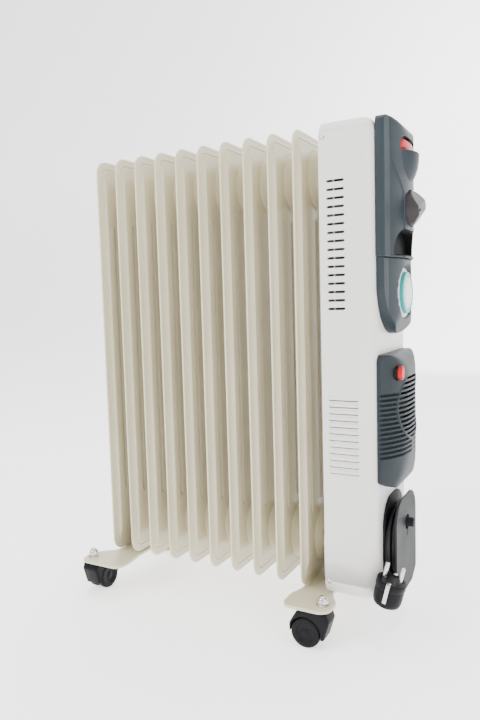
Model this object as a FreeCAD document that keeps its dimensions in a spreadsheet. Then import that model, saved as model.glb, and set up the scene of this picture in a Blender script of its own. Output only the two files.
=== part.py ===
"""Oil filled radiator heater on casters, with a thermostat, a 24 hour timer, a fan heater and a cord winder.

The object stands on z = 0. +X runs along the row of sections to the control end, -Y is the front long side.
The origin lies on the floor under the middle of the whole object.
"""
import FreeCAD, Part
import math
import os

import Sketcher

Vector = FreeCAD.Vector

# ---------------------------------------------------------------- driving dimensions (mm, degrees, counts)
SIZES = {
    # oil sections
    "section_count": 11,
    "section_pitch": 34.0,
    "section_depth": 150.0,
    "section_height": 580.0,
    "section_corner": 21.0,
    "seam_thickness": 2.4,
    "seam_width": 11.0,
    "channel_thickness": 11.0,
    "channel_corner": 14.0,
    "groove_width": 5.0,
    "groove_inner_place": 14.5,
    "groove_outer_place": 46.0,
    "groove_inner_margin": 107.0,
    "groove_outer_margin": 94.0,
    "hub_margin": 55.0,
    "hub_base_radius": 40.0,
    "hub_neck_radius": 30.0,
    "hub_bore_radius": 20.0,
    "hub_mouth_radius": 34.0,
    "section_wall": 1.2,
    "hub_plug_thickness": 3.0,
    # stance
    "ground_clearance": 55.0,
    "plate_drop": 1.4,
    "plate_thickness": 1.5,
    "plate_lip": 3.8,
    "plate_corner": 13.0,
    "plate_neck_width": 42.0,
    "plate_half_length": 117.0,
    "left_plate_outer": 49.0,
    "left_plate_inner": 25.0,
    "left_stud_place": 37.0,
    "right_plate_outer": 34.0,
    "right_plate_inner": 28.0,
    "right_stud_place": 21.0,
    "stud_spread": 98.5,
    "u_bolt_radius": 2.5,
    "wing_nut_radius": 5.0,
    "wing_nut_height": 5.0,
    # casters
    "wheel_radius": 19.0,
    "wheel_width": 9.4,
    "wheel_edge": 2.6,
    "wheel_gap": 7.6,
    "axle_radius": 2.5,
    "caster_trail": 19.0,
    "hood_wall": 2.4,
    "hood_width": 27.4,
    "hood_drop": 2.7,
    "stud_radius": 4.0,
    "stud_depth": 12.0,
    "stud_collar_radius": 7.0,
    "dome_nut_across": 13.0,
    "dome_nut_height": 6.0,
    # housing
    "housing_length": 65.0,
    "housing_sheet": 1.0,
    "housing_gap": 0.4,
    "housing_edge_radius": 16.5,
    "slot_count": 16,
    "slot_pitch": 10.0,
    "slot_length": 21.5,
    "slot_height": 2.4,
    "slot_inset": 9.5,
    "slot_top_margin": 71.0,
    "louvre_count": 12,
    "louvre_pitch": 8.2,
    "louvre_length": 38.5,
    "louvre_height": 5.4,
    "louvre_depth": 2.2,
    "louvre_inset": 7.5,
    "louvre_top_margin": 332.0,
    # fascia and timer cover
    "fascia_half_width": 65.5,
    "fascia_ridge": 61.0,
    "fascia_ridge_height": 12.0,
    "fascia_crown": 26.0,
    "fascia_wall": 2.6,
    "fascia_top_margin": 1.4,
    "seam_height": 418.5,
    "timer_crown": 22.0,
    "timer_cover_length": 92.0,
    "trim_gap": 0.5,
    "lamp_half_width": 31.0,
    "lamp_rise": 13.5,
    "lamp_gap": 1.2,
    "hood_rim_height": 545.0,
    "hood_reach": 35.0,
    "hood_length": 38.0,
    "hood_radius": 58.0,
    "recess_half_width": 45.0,
    "recess_height": 32.0,
    "recess_depth": 17.0,
    "recess_margin": 2.0,
    # thermostat
    "knob_height": 479.0,
    "knob_radius": 21.0,
    "knob_reach": 39.5,
    "knob_turn": -73.0,
    "knob_hole_gap": 1.6,
    "spindle_radius": 3.0,
    "thermostat_side": 34.0,
    "thermostat_length": 20.0,
    # timer
    "timer_height": 376.5,
    "dial_ring_radius": 31.0,
    "dial_radius": 25.4,
    "dial_reach": 22.0,
    "dial_depth": 6.0,
    "tappet_count": 48,
    "mechanism_side": 52.0,
    "mechanism_length": 30.0,
    # fan heater
    "cover_crown": 28.0,
    "cover_edge_height": 5.0,
    "cover_half_width": 65.5,
    "cover_top_height": 303.0,
    "cover_bottom_height": 133.0,
    "cover_wall": 2.5,
    "grille_height": 237.0,
    "grille_radius": 41.5,
    "rib_count": 14,
    "rib_pitch": 5.8,
    "rib_gap": 2.8,
    "rib_relief": 1.4,
    "button_side": 41.0,
    "button_height": 280.0,
    "button_radius": 8.2,
    "button_reach": 25.5,
    "button_travel": 3.0,
    "fan_window_radius": 43.0,
    "impeller_radius": 37.5,
    "impeller_length": 7.0,
    "ptc_thickness": 5.0,
    "motor_radius": 14.0,
    "motor_length": 22.0,
    # inside
    "element_radius": 4.2,
    "element_leg_spread": 9.0,
    "element_side": 7.5,
    "element_length": 240.0,
    "element_flange_radius": 27.0,
    "element_flange_thickness": 5.0,
    "shield_thickness": 0.8,
    "cutout_radius": 8.0,
    "cutout_height": 10.0,
    # cord winder
    "winder_base_thickness": 2.6,
    "winder_core_half_width": 24.0,
    "winder_core_half_height": 32.0,
    "winder_centre_height": 56.0,
    "winding_depth": 12.6,
    "winding_half_width": 54.0,
    "winding_half_height": 55.0,
    "winding_corner": 44.0,
    "flange_thickness": 3.2,
    "flange_half_width": 51.0,
    "flange_half_height": 62.0,
    "winder_fit": 0.3,
    "tray_reach": 15.0,
    "tray_thickness": 3.0,
    # cord and plug
    "cord_radius": 3.5,
    "plug_radius": 17.8,
    "plug_depth": 33.0,
    "plug_side": 77.5,
    "plug_tilt": 14.0,
    "pin_radius": 2.4,
    "pin_length": 19.0,
    "pin_root_radius": 2.0,
    "pin_root_rise": 0.6,
    "pin_spacing": 19.0,
    # general fits
    "running_gap": 0.05,
    "seat_gap": 0.3,
}

doc = FreeCAD.newDocument("radiator_heater")
sheet = doc.addObject("Spreadsheet::Sheet", "Sizes")
for row, (alias, number) in enumerate(SIZES.items(), start=1):
    sheet.set("A%d" % row, alias.replace("_", " "))
    sheet.set("B%d" % row, str(number))
    sheet.setAlias("B%d" % row, alias)
doc.recompute()


class Size:
    """Reads a driving dimension from the sheet by its name."""

    def __getattr__(self, alias):
        return getattr(sheet, alias)


size = Size()

# ---------------------------------------------------------------- places that follow from the sizes
row_length = (size.section_count - 1) * size.section_pitch
control_reach = -0.5 + size.housing_length + size.knob_reach
left_reach = size.left_plate_outer - size.section_pitch / 2
first_section_x = -(row_length + control_reach - left_reach) / 2
last_section_x = first_section_x + row_length
mouth_x = last_section_x - 0.5
end_x = mouth_x + size.housing_length
base_z = size.ground_clearance
top_z = base_z + size.section_height
housing_half = size.section_depth / 2 + size.housing_gap + size.housing_sheet
housing_low = base_z - size.housing_gap - size.housing_sheet
housing_high = top_z + size.housing_gap + size.housing_sheet
lower_hub_z = base_z + size.hub_margin
upper_hub_z = top_z - size.hub_margin
hub_face_x = last_section_x + size.section_pitch / 2
plate_top = base_z - size.plate_drop
plate_under = plate_top - size.plate_thickness

PARTS = []


# ---------------------------------------------------------------- helpers
def keep(obj, node):
    """Registers a finished sub-part under its node name."""
    obj.Label = node
    PARTS.append(obj)
    return obj


def feature(node, shape):
    """A sub-part whose shape is worked out with Part's own functions."""
    obj = doc.addObject("Part::Feature", node)
    obj.Shape = shape
    return keep(obj, node)


def bind(obj, **formulas):
    """Binds properties of an object to formulas in the sheet's names."""
    for prop, formula in formulas.items():
        words = formula.split()
        obj.setExpression(prop, " ".join("Sizes." + word if word in SIZES else word for word in words))
    return obj


def place(obj, x, y, z, axis=(0, 0, 1), angle=0.0):
    obj.Placement = FreeCAD.Placement(Vector(x, y, z), FreeCAD.Rotation(Vector(*axis), angle))
    return obj


def lift(plane, u, v, w=0.0):
    """A point of a drawing plane in space: YZ looks along X, XZ along Y and XY along Z."""
    return {"XY": Vector(u, v, w), "XZ": Vector(u, w, v), "YZ": Vector(w, u, v)}[plane]


def outline(plane, corners, level=0.0):
    """A closed wire through corners (u, v, radius), rounded by tangent arcs."""
    points = [lift(plane, u, v, level) for u, v, _ in corners]
    starts, ends, arcs = [], [], []
    for i, (_, _, radius) in enumerate(corners):
        here = points[i]
        back = (points[i - 1] - here).normalize()
        ahead = (points[(i + 1) % len(points)] - here).normalize()
        if radius <= 0:
            starts.append(here)
            ends.append(here)
            continue
        half = back.getAngle(ahead) / 2
        reach = radius / math.tan(half)
        middle = (back + ahead).normalize()
        starts.append(here + back * reach)
        ends.append(here + ahead * reach)
        crest = here + middle * (radius / math.sin(half) - radius)
        arcs.append((i, Part.Arc(starts[i], crest, ends[i]).toShape()))
    edges = []
    arc_at = dict(arcs)
    for i in range(len(points)):
        if i in arc_at:
            edges.append(arc_at[i])
        following = starts[(i + 1) % len(points)]
        if (following - ends[i]).Length > 1e-6:
            edges.append(Part.LineSegment(ends[i], following).toShape())
    return Part.Wire(edges)


def prism(plane, corners, start, depth):
    """A rounded outline carried straight along the plane's normal."""
    normal = lift(plane, 0, 0, 1)
    return Part.Face(outline(plane, corners, start)).extrude(normal * depth)


def block(x0, x1, y0, y1, z0, z1):
    return Part.makeBox(x1 - x0, y1 - y0, z1 - z0, Vector(x0, y0, z0))


def rod(radius, start, end):
    """A round bar from one point to another."""
    run = Vector(*end) - Vector(*start)
    return Part.makeCylinder(radius, run.Length, Vector(*start), run)


def oblong(half_width, half_height, radius, centre):
    """Corners of a rounded rectangle about (0, centre)."""
    return [(-half_width, centre - half_height, radius), (half_width, centre - half_height, radius),
            (half_width, centre + half_height, radius), (-half_width, centre + half_height, radius)]


def ring_of(shape, count, centre, axis):
    """Copies of a shape turned about an axis."""
    copies = []
    for i in range(count):
        turned = shape.copy()
        turned.rotate(centre, axis, 360.0 * i / count)
        copies.append(turned)
    return copies


def mirrored(shape):
    """A shape with its mirror image across the middle plane y = 0."""
    return [shape, shape.mirror(Vector(0, 0, 0), Vector(0, 1, 0))]


def origin_plane(body, role):
    return [item for item in body.Origin.OriginFeatures if item.Role == role][0]


def new_sketch(body, name, role, height=""):
    """A sketch on one of the body's own origin planes, its origin raised by a formula."""
    sketch = body.newObject("Sketcher::SketchObject", name)
    sketch.AttachmentSupport = [(origin_plane(body, role), "")]
    sketch.MapMode = "FlatFace"
    if height:
        bind(sketch, **{"AttachmentOffset.Base.y": height})
    return sketch


def draw_rounded_rectangle(sketch, tag, width, height, radius, low, middle="0"):
    """Draws a rounded rectangle in a sketch, constrained by five formulas in the sheet's names.

    low is the height of the lower edge and middle the place of the centre line.
    """
    w, h, r, z, m = (worked_out(formula) for formula in (width, height, radius, low, middle))
    left, right, bottom, top = m - w / 2, m + w / 2, z, z + h
    base = sketch.GeometryCount
    spans = [((left + r, bottom), (right - r, bottom)), ((right, bottom + r), (right, top - r)),
             ((right - r, top), (left + r, top)), ((left, top - r), (left, bottom + r))]
    for start, end in spans:
        sketch.addGeometry(Part.LineSegment(Vector(*start, 0), Vector(*end, 0)), False)
    centres = [(right - r, bottom + r, 270), (right - r, top - r, 0),
               (left + r, top - r, 90), (left + r, bottom + r, 180)]
    for x, y, turn in centres:
        circle = Part.Circle(Vector(x, y, 0), Vector(0, 0, 1), r)
        sketch.addGeometry(Part.ArcOfCircle(circle, math.radians(turn), math.radians(turn + 90)), False)
    bottom_line, right_line, top_line, left_line = range(base, base + 4)
    for i in range(4):
        sketch.addConstraint(Sketcher.Constraint("Tangent", base + i, 2, base + 4 + i, 1))
        sketch.addConstraint(Sketcher.Constraint("Tangent", base + 4 + i, 2, base + (i + 1) % 4, 1))
    for line in (bottom_line, top_line):
        sketch.addConstraint(Sketcher.Constraint("Horizontal", line))
    for line in (left_line, right_line):
        sketch.addConstraint(Sketcher.Constraint("Vertical", line))
    for i in (5, 6, 7):
        sketch.addConstraint(Sketcher.Constraint("Equal", base + 4, base + i))
    named = [("corner", ("Radius", base + 4), r, radius),
             ("across", ("DistanceX", left_line, 1, right_line, 1), w, width),
             ("upright", ("DistanceY", bottom_line, 1, top_line, 1), h, height),
             ("side", ("DistanceX", left_line, 1, -1, 1), w / 2 - m, "( " + width + " ) / 2 - ( " + middle + " )"),
             ("low", ("DistanceY", -1, 1, bottom_line, 1), z, low)]
    for name, kind, value, formula in named:
        if name == "side" and value < 0:
            kind = ("DistanceX", -1, 1, left_line, 1)
            value, formula = -value, "( " + middle + " ) - ( " + width + " ) / 2"
        index = sketch.addConstraint(Sketcher.Constraint(*kind, value))
        sketch.renameConstraint(index, tag + "_" + name)
        bind(sketch, **{"Constraints." + tag + "_" + name: formula})


def worked_out(formula):
    """The value of a formula written in the sheet's names, found by a cell of the sheet itself."""
    words = formula.split()
    sheet.set("D1", "=" + " ".join(words))
    sheet.recompute()
    return float(sheet.get("D1"))


def both_ways(body, kind, name, sketch, length):
    """A pad or pocket to both sides of its sketch."""
    item = body.newObject("PartDesign::" + kind, name)
    item.Profile = sketch
    item.SideType = "Symmetric"
    bind(item, Length=length)
    sketch.Visibility = False
    return item


def turned(body, kind, name, sketch):
    """A revolution or groove about the sketch's own horizontal axis."""
    item = body.newObject("PartDesign::" + kind, name)
    item.Profile = sketch
    item.ReferenceAxis = (sketch, ["H_Axis"])
    item.Angle = 360.0
    sketch.Visibility = False
    return item


def draw_circle(sketch, tag, radius, height):
    """Draws a circle on a sketch's upright axis, constrained by two formulas in the sheet's names."""
    index = sketch.addGeometry(Part.Circle(Vector(0, worked_out(height), 0), Vector(0, 0, 1), worked_out(radius)), False)
    sketch.addConstraint(Sketcher.Constraint("PointOnObject", index, 3, -2))
    for name, kind, formula in (("radius", ("Radius", index), radius), ("height", ("DistanceY", -1, 1, index, 3), height)):
        place_in_list = sketch.addConstraint(Sketcher.Constraint(*kind, worked_out(formula)))
        sketch.renameConstraint(place_in_list, tag + "_" + name)
        bind(sketch, **{"Constraints." + tag + "_" + name: formula})


def draw_polygon(sketch, tag, corners):
    """Draws a closed polygon whose corners are pairs of formulas in the sheet's names."""
    values = [tuple(worked_out(formula) for formula in corner) for corner in corners]
    count = len(values)
    for i in range(count):
        start, end = values[i], values[(i + 1) % count]
        sketch.addGeometry(Part.LineSegment(Vector(*start, 0), Vector(*end, 0)), False)
    for i in range(count):
        sketch.addConstraint(Sketcher.Constraint("Coincident", i, 2, (i + 1) % count, 1))
    for i, corner in enumerate(corners):
        for name, value, formula in zip(("X", "Y"), values[i], corner):
            ends = (-1, 1, i, 1)
            if value < 0:
                ends = (i, 1, -1, 1)
                value, formula = -value, "0 - ( " + formula + " )"
            index = sketch.addConstraint(Sketcher.Constraint("Distance" + name, *ends, value))
            label = "%s_%d_%s" % (tag, i, name)
            sketch.renameConstraint(index, label)
            bind(sketch, **{"Constraints." + label: formula})


# ---------------------------------------------------------------- oil sections
section = doc.addObject("PartDesign::Body", "Section")
doc.recompute()

flange_sketch = new_sketch(section, "FlangeSketch", "YZ_Plane")
draw_rounded_rectangle(flange_sketch, "flange", "section_depth", "section_height", "section_corner",
                       "ground_clearance")
both_ways(section, "Pad", "SeamFlange", flange_sketch, "seam_thickness")

channel_sketch = new_sketch(section, "ChannelSketch", "YZ_Plane")
draw_rounded_rectangle(channel_sketch, "channel", "section_depth - 2 * seam_width",
                       "section_height - 2 * seam_width", "channel_corner", "ground_clearance + seam_width")
both_ways(section, "Pad", "Channels", channel_sketch, "channel_thickness")
doc.recompute()

groove_places = {"outer": ("groove_outer_place", "groove_outer_margin"),
                 "inner": ("groove_inner_place", "groove_inner_margin")}


def draw_grooves(sketch, extra_width):
    """Four upright slots between the oil channels, wider by a formula where they bound the cavity."""
    for sign, side in ((-1, "front"), (1, "back")):
        for name, (at, margin) in groove_places.items():
            draw_rounded_rectangle(sketch, side + "_" + name, "groove_width + " + extra_width,
                                   "section_height - 2 * " + margin + " + " + extra_width,
                                   "( groove_width + " + extra_width + " ) * 0.45",
                                   "ground_clearance + " + margin + " - ( " + extra_width + " ) / 2",
                                   "%d * %s" % (sign, at))


cavity_sketch = new_sketch(section, "CavitySketch", "YZ_Plane")
draw_rounded_rectangle(cavity_sketch, "cavity", "section_depth - 2 * seam_width - 2 * section_wall",
                       "section_height - 2 * seam_width - 2 * section_wall", "channel_corner - section_wall",
                       "ground_clearance + seam_width + section_wall")
draw_grooves(cavity_sketch, "2 * section_wall")
both_ways(section, "Pocket", "Cavity", cavity_sketch, "channel_thickness - 2 * section_wall")

for side, sign in (("Right", 1), ("Left", -1)):
    groove_sketch = new_sketch(section, side + "GrooveSketch", "YZ_Plane")
    bind(groove_sketch, **{"AttachmentOffset.Base.z": "%d * channel_thickness / 2" % sign})
    draw_grooves(groove_sketch, "0")
    cut = section.newObject("PartDesign::Pocket", side + "Grooves")
    cut.Profile = groove_sketch
    cut.Reversed = sign < 0
    bind(cut, Length="channel_thickness / 2 - seam_thickness / 2")
doc.recompute()

mouth_sketch = new_sketch(section, "MouthSketch", "YZ_Plane")
for tag, height in (("lower", "ground_clearance + hub_margin"),
                    ("upper", "ground_clearance + section_height - hub_margin")):
    draw_circle(mouth_sketch, tag, "hub_mouth_radius", height)
both_ways(section, "Pocket", "HubMouths", mouth_sketch, "channel_thickness + 1")
doc.recompute()
section.Placement = FreeCAD.Placement(Vector(first_section_x, 0, 0), FreeCAD.Rotation())
doc.recompute()
keep(section, "section_01")
print("section volume", round(section.Shape.Volume), "valid", section.Shape.isValid(), section.Shape.BoundBox)

for number in range(2, int(size.section_count) + 1):
    copy = feature("section_%02d" % number, section.Shape.copy())
    copy.Placement = FreeCAD.Placement(Vector(first_section_x + (number - 1) * size.section_pitch, 0, 0),
                                       FreeCAD.Rotation())

# hub necks: a waisted ring between every two sections at both hubs, and a half ring at each end of the row
wide = "hub_base_radius"
narrow = "hub_neck_radius"
mouth = "hub_mouth_radius"
bore = "hub_bore_radius"
near = "channel_thickness / 2"
near_flat = "section_pitch / 2 - u_bolt_radius - 1"
middle_face = "section_pitch / 2"
far_flat = "section_pitch / 2 + u_bolt_radius + 1"
far = "section_pitch - channel_thickness / 2"
neck_profiles = {
    "HubRing": [(near, mouth), (near_flat, bore), (far_flat, bore), (far, mouth), (far, wide), (far_flat, narrow),
                (near_flat, narrow), (near, wide)],
    "EndNeck": [(near, mouth), (near_flat, bore), (middle_face, bore), (middle_face, narrow), (near_flat, narrow),
                (near, wide)]}
necks = {}
for name, profile in neck_profiles.items():
    neck = doc.addObject("PartDesign::Body", name)
    doc.recompute()
    neck_sketch = new_sketch(neck, name + "Sketch", "XZ_Plane")
    draw_polygon(neck_sketch, "neck", profile)
    turned(neck, "Revolution", name + "Turned", neck_sketch)
    doc.recompute()
    necks[name] = neck.Shape
neck_list = []
for height in (lower_hub_z, upper_hub_z):
    for number in range(int(size.section_count) - 1):
        ring = necks["HubRing"].copy()
        ring.translate(Vector(first_section_x + number * size.section_pitch, 0, height))
        neck_list.append(ring)
    for hub_x, turn in ((last_section_x, 0), (first_section_x, 180)):
        end_neck = necks["EndNeck"].copy()
        end_neck.rotate(Vector(0, 0, 0), Vector(0, 0, 1), turn)
        end_neck.translate(Vector(hub_x, 0, height))
        neck_list.append(end_neck)
feature("hub_necks", Part.Compound(neck_list))

# blind plugs in the outer hubs, each a disc with a spigot
plugs = []
spigot_radius = size.hub_bore_radius - size.seat_gap
plug_radius = size.hub_bore_radius + 6
left_face_x = first_section_x - size.section_pitch / 2
for face_x, way, height in ((left_face_x, -1, lower_hub_z), (left_face_x, -1, upper_hub_z),
                            (hub_face_x, 1, upper_hub_z)):
    disc = rod(plug_radius, (face_x, 0, height), (face_x + way * size.hub_plug_thickness, 0, height))
    spigot = rod(spigot_radius, (face_x - way * 4, 0, height), (face_x + way, 0, height))
    plugs.append(disc.fuse(spigot).removeSplitter())
feature("hub_plugs", Part.Compound(plugs))

# ---------------------------------------------------------------- heating elements in the lower hubs
element_start_x = hub_face_x - size.element_length
element_end_x = hub_face_x + size.element_flange_thickness + 14
elements = []
for side in (-1, 1):
    y = side * size.element_side
    legs = [rod(size.element_radius, (element_start_x, y, lower_hub_z + up), (element_end_x, y, lower_hub_z + up))
            for up in (-size.element_leg_spread, size.element_leg_spread)]
    turn = Part.makeTorus(size.element_leg_spread, size.element_radius, Vector(element_start_x, y, lower_hub_z),
                          Vector(0, 1, 0))
    half = block(element_start_x - 20, element_start_x, y - 6, y + 6, lower_hub_z - 20, lower_hub_z + 20)
    elements.append(turn.common(half).fuse(legs).removeSplitter())
feature("heating_elements", Part.Compound(elements))
flange = rod(size.element_flange_radius, (hub_face_x, 0, lower_hub_z),
             (hub_face_x + size.element_flange_thickness, 0, lower_hub_z))
collar = rod(spigot_radius, (hub_face_x - 6, 0, lower_hub_z), (hub_face_x + 1, 0, lower_hub_z))
sockets = [rod(size.element_radius + size.running_gap, (hub_face_x - 10, side * size.element_side, lower_hub_z + up),
               (hub_face_x + 10, side * size.element_side, lower_hub_z + up))
           for side in (-1, 1) for up in (-size.element_leg_spread, size.element_leg_spread)]
feature("element_flange", flange.fuse(collar).cut(sockets).removeSplitter())

# ---------------------------------------------------------------- foot plates, U-bolts and nuts
left_bolt_x = first_section_x + size.section_pitch / 2
right_bolt_x = last_section_x - size.section_pitch / 2
bolt_places = (left_bolt_x, right_bolt_x)
bolt_ring = size.hub_neck_radius + size.u_bolt_radius + size.seat_gap
studs = [(right_bolt_x + size.right_stud_place, side * size.stud_spread) for side in (-1, 1)]
studs += [(left_bolt_x - size.left_stud_place, side * size.stud_spread) for side in (-1, 1)]


def plate(bolt_x, way, outer, inner):
    """A foot plate with a turned-down edge; way is +1 when its outer end points along +X."""
    length = size.plate_half_length
    neck = size.plate_neck_width / 2
    corner = size.plate_corner
    half = [(outer, -length, corner + 2), (outer, -length + 31, corner), (neck, -length + 54, corner),
            (neck, length - 54, corner), (outer, length - 31, corner), (outer, length, corner + 2),
            (-inner, length, corner), (-inner, length - 31, corner / 2), (-neck, length - 52, corner / 2),
            (-neck, -length + 52, corner / 2), (-inner, -length + 31, corner / 2), (-inner, -length, corner)]
    corners = [(bolt_x + way * s, y, radius) for s, y, radius in half]
    face = Part.Face(outline("XY", corners, plate_top - size.plate_lip))
    solid = face.extrude(Vector(0, 0, size.plate_lip))
    inner_face = face.makeOffset2D(-size.plate_thickness)
    hollow = inner_face.extrude(Vector(0, 0, size.plate_lip - size.plate_thickness))
    return solid.cut(hollow)


hole_gap = size.running_gap
plates = {"foot_plate_left": (left_bolt_x, -1, size.left_plate_outer, size.left_plate_inner),
          "foot_plate_right": (right_bolt_x, 1, size.right_plate_outer, size.right_plate_inner)}
for node, (bolt_x, way, outer, inner) in plates.items():
    shape = plate(bolt_x, way, outer, inner)
    bead_places = [bolt_x - way * size.section_pitch / 2]
    if way < 0:
        bead_places.append(bolt_x + way * size.section_pitch / 2)
    beads = [block(x - 2, x + 2, -48, 48, plate_top - 0.5, base_z) for x in bead_places]
    holes = [rod(size.u_bolt_radius + hole_gap, (bolt_x, y, plate_top - 20), (bolt_x, y, plate_top + 5))
             for y in (-bolt_ring, bolt_ring)]
    holes += [rod(size.stud_radius + hole_gap, (x, y, plate_top - 20), (x, y, plate_top + 5)) for x, y in studs]
    feature(node, shape.fuse(beads).cut(holes).removeSplitter())

u_bolts = []
wing_nuts = []
for bolt_x in bolt_places:
    bow = Part.makeTorus(bolt_ring, size.u_bolt_radius, Vector(bolt_x, 0, lower_hub_z), Vector(1, 0, 0))
    upper_half = block(bolt_x - 9, bolt_x + 9, -60, 60, lower_hub_z, lower_hub_z + 60)
    legs = []
    for y in (-bolt_ring, bolt_ring):
        legs.append(rod(size.u_bolt_radius, (bolt_x, y, plate_under - 8), (bolt_x, y, lower_hub_z)))
        barrel = rod(size.wing_nut_radius, (bolt_x, y, plate_under), (bolt_x, y, plate_under - size.wing_nut_height))
        wings = block(bolt_x - 11, bolt_x + 11, y - 0.9, y + 0.9, plate_under - 8, plate_under - 1)
        bore = rod(size.u_bolt_radius, (bolt_x, y, plate_under - 20), (bolt_x, y, plate_under + 5))
        wing_nuts.append(barrel.fuse(wings).cut(bore).removeSplitter())
    u_bolts.append(bow.common(upper_half).fuse(legs).removeSplitter())
feature("foot_u_bolts", Part.Compound(u_bolts))
feature("foot_wing_nuts", Part.Compound(wing_nuts))

# ---------------------------------------------------------------- casters
hood_top = plate_under - size.hood_drop
stud_top = plate_top + size.dome_nut_height
stud_list = []
nut_list = []
for x, y in studs:
    shank = rod(size.stud_radius, (x, y, hood_top - size.stud_depth), (x, y, stud_top - 1))
    washer = rod(size.stud_collar_radius, (x, y, hood_top + size.running_gap), (x, y, plate_under))
    stud_list.append(shank.fuse(washer).removeSplitter())
    across = size.dome_nut_across / math.sqrt(3)
    corners = [(x + across * math.cos(math.radians(60 * i)), y + across * math.sin(math.radians(60 * i)), 0)
               for i in range(6)]
    skirt = rod(size.dome_nut_across / 2 + 1.5, (x, y, plate_top), (x, y, plate_top + 1.2))
    prism_part = prism("XY", corners, plate_top, size.dome_nut_height)
    dome = Part.makeSphere(size.dome_nut_across / 2 - 0.3, Vector(x, y, stud_top)).common(
        block(x - 20, x + 20, y - 20, y + 20, stud_top - 1, stud_top + 20))
    bore = rod(size.stud_radius, (x, y, plate_top - 2), (x, y, stud_top - 1))
    nut_list.append(skirt.fuse([prism_part, dome]).cut(bore).removeSplitter())
feature("caster_studs", Part.Compound(stud_list))
feature("caster_dome_nuts", Part.Compound(nut_list))


def caster_hood():
    """A hood about its own stud at the origin, with the wheels trailing along -X."""
    trail = -size.caster_trail
    hub = size.wheel_radius
    reach = hub + 4.5
    half = size.hood_width / 2
    side = [(trail - reach + 2, hub - 2, 2), (trail - reach + 1.5, hub + 9, 12), (trail - 9, hood_top, 14),
            (7.5, hood_top, 5), (12, 37, 6), (4.5, 13, 3), (trail + 5, 11.5, 4), (trail - 6, 11.5, 6),
            (trail - 11, hub - 1, 3)]
    solid = prism("XZ", side, -half, size.hood_width)
    web = size.wheel_gap / 2 - 0.6
    for sign in (-1, 1):
        start = (trail, sign * web, hub)
        end = (trail, sign * (half + 5), hub)
        solid = solid.cut(rod(size.wheel_radius + 1.6, start, end))
    solid = solid.cut(rod(size.stud_radius + size.running_gap, (0, 0, hood_top - size.stud_depth - 0.3),
                          (0, 0, hood_top + 5)))
    return solid.cut(rod(size.axle_radius + size.running_gap, (trail, -9, hub), (trail, 9, hub)))


def caster_wheels():
    """Two rounded wheels on one axle, about the same stud as the hood."""
    trail = -size.caster_trail
    hub = size.wheel_radius
    inner = size.wheel_gap / 2
    outer = inner + size.wheel_width
    shapes = [rod(size.axle_radius, (trail, -outer + 1, hub), (trail, outer - 1, hub))]
    for sign in (-1, 1):
        wheel = rod(size.wheel_radius, (trail, sign * inner, hub), (trail, sign * outer, hub))
        rims = [edge for edge in wheel.Edges if isinstance(edge.Curve, Part.Circle)]
        wheel = wheel.makeFillet(size.wheel_edge, rims)
        dish = rod(size.wheel_radius * 0.6, (trail, sign * (outer - 1.2), hub), (trail, sign * (outer + 1), hub))
        cap = rod(size.axle_radius + 3, (trail, sign * (outer - 2), hub), (trail, sign * outer, hub))
        shapes.append(wheel.cut(dish).fuse(cap))
    return shapes[0].fuse(shapes[1:]).removeSplitter()


hood = caster_hood()
wheels = caster_wheels()
caster_turns = {"fr": (studs[0], 0), "rr": (studs[1], 0), "fl": (studs[2], -90), "rl": (studs[3], 90)}
for code, ((x, y), turn) in caster_turns.items():
    for node, shape in (("caster_hood_" + code, hood), ("caster_wheels_" + code, wheels)):
        place(feature(node, shape.copy()), x, y, 0, (0, 0, 1), turn)

# ---------------------------------------------------------------- housing
sheet_gap = size.housing_gap
wall = size.housing_sheet


def housing_block(inset, start_x, finish_x, radius):
    """The housing's outer form inset by a distance, with its end edges rounded."""
    corner = size.section_corner + sheet_gap + wall - inset
    corners = [(-housing_half + inset, housing_low + inset, corner), (housing_half - inset, housing_low + inset, corner),
               (housing_half - inset, housing_high - inset, corner), (-housing_half + inset, housing_high - inset, corner)]
    solid = prism("YZ", corners, start_x, finish_x - start_x)
    rim = [edge for edge in solid.Edges if all(abs(v.X - finish_x) < 1e-6 for v in edge.Vertexes)]
    return solid.makeFillet(radius, rim)


casing = housing_block(0, mouth_x, end_x, size.housing_edge_radius)
hollow = housing_block(wall, mouth_x - 5, end_x - wall, size.housing_edge_radius - wall)
shell = casing.cut(hollow)

louvre_x = mouth_x + size.louvre_inset
louvres = []
cuts = []
for i in range(int(size.louvre_count)):
    low = housing_high - size.louvre_top_margin - i * size.louvre_pitch
    face_y = -housing_half
    deep = size.louvre_depth
    outer = [(face_y + 0.2, low, 0), (face_y - deep, low, 0), (face_y - deep * 0.75, low + size.louvre_height * 0.55, 0),
             (face_y + 0.2, low + size.louvre_height, 0)]
    duct = [(face_y + wall + 1, low - 0.1, 0), (face_y - deep + 0.9, low - 0.1, 0),
            (face_y - 0.3, low + size.louvre_height * 0.4, 0), (face_y + wall + 1, low + size.louvre_height * 0.4, 0)]
    louvres += mirrored(prism("YZ", outer, louvre_x, size.louvre_length))
    cuts += mirrored(prism("YZ", duct, louvre_x + 1, size.louvre_length - 2))
slot_x = mouth_x + size.slot_inset
for i in range(int(size.slot_count)):
    low = housing_high - size.slot_top_margin - i * size.slot_pitch
    cuts.append(block(slot_x, slot_x + size.slot_length, -housing_half - 3, -housing_half + 5,
                      low - size.slot_height, low))
    cuts.append(block(slot_x, slot_x + size.slot_length, housing_half - 5, housing_half + 3,
                      low - size.slot_height, low))

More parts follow.
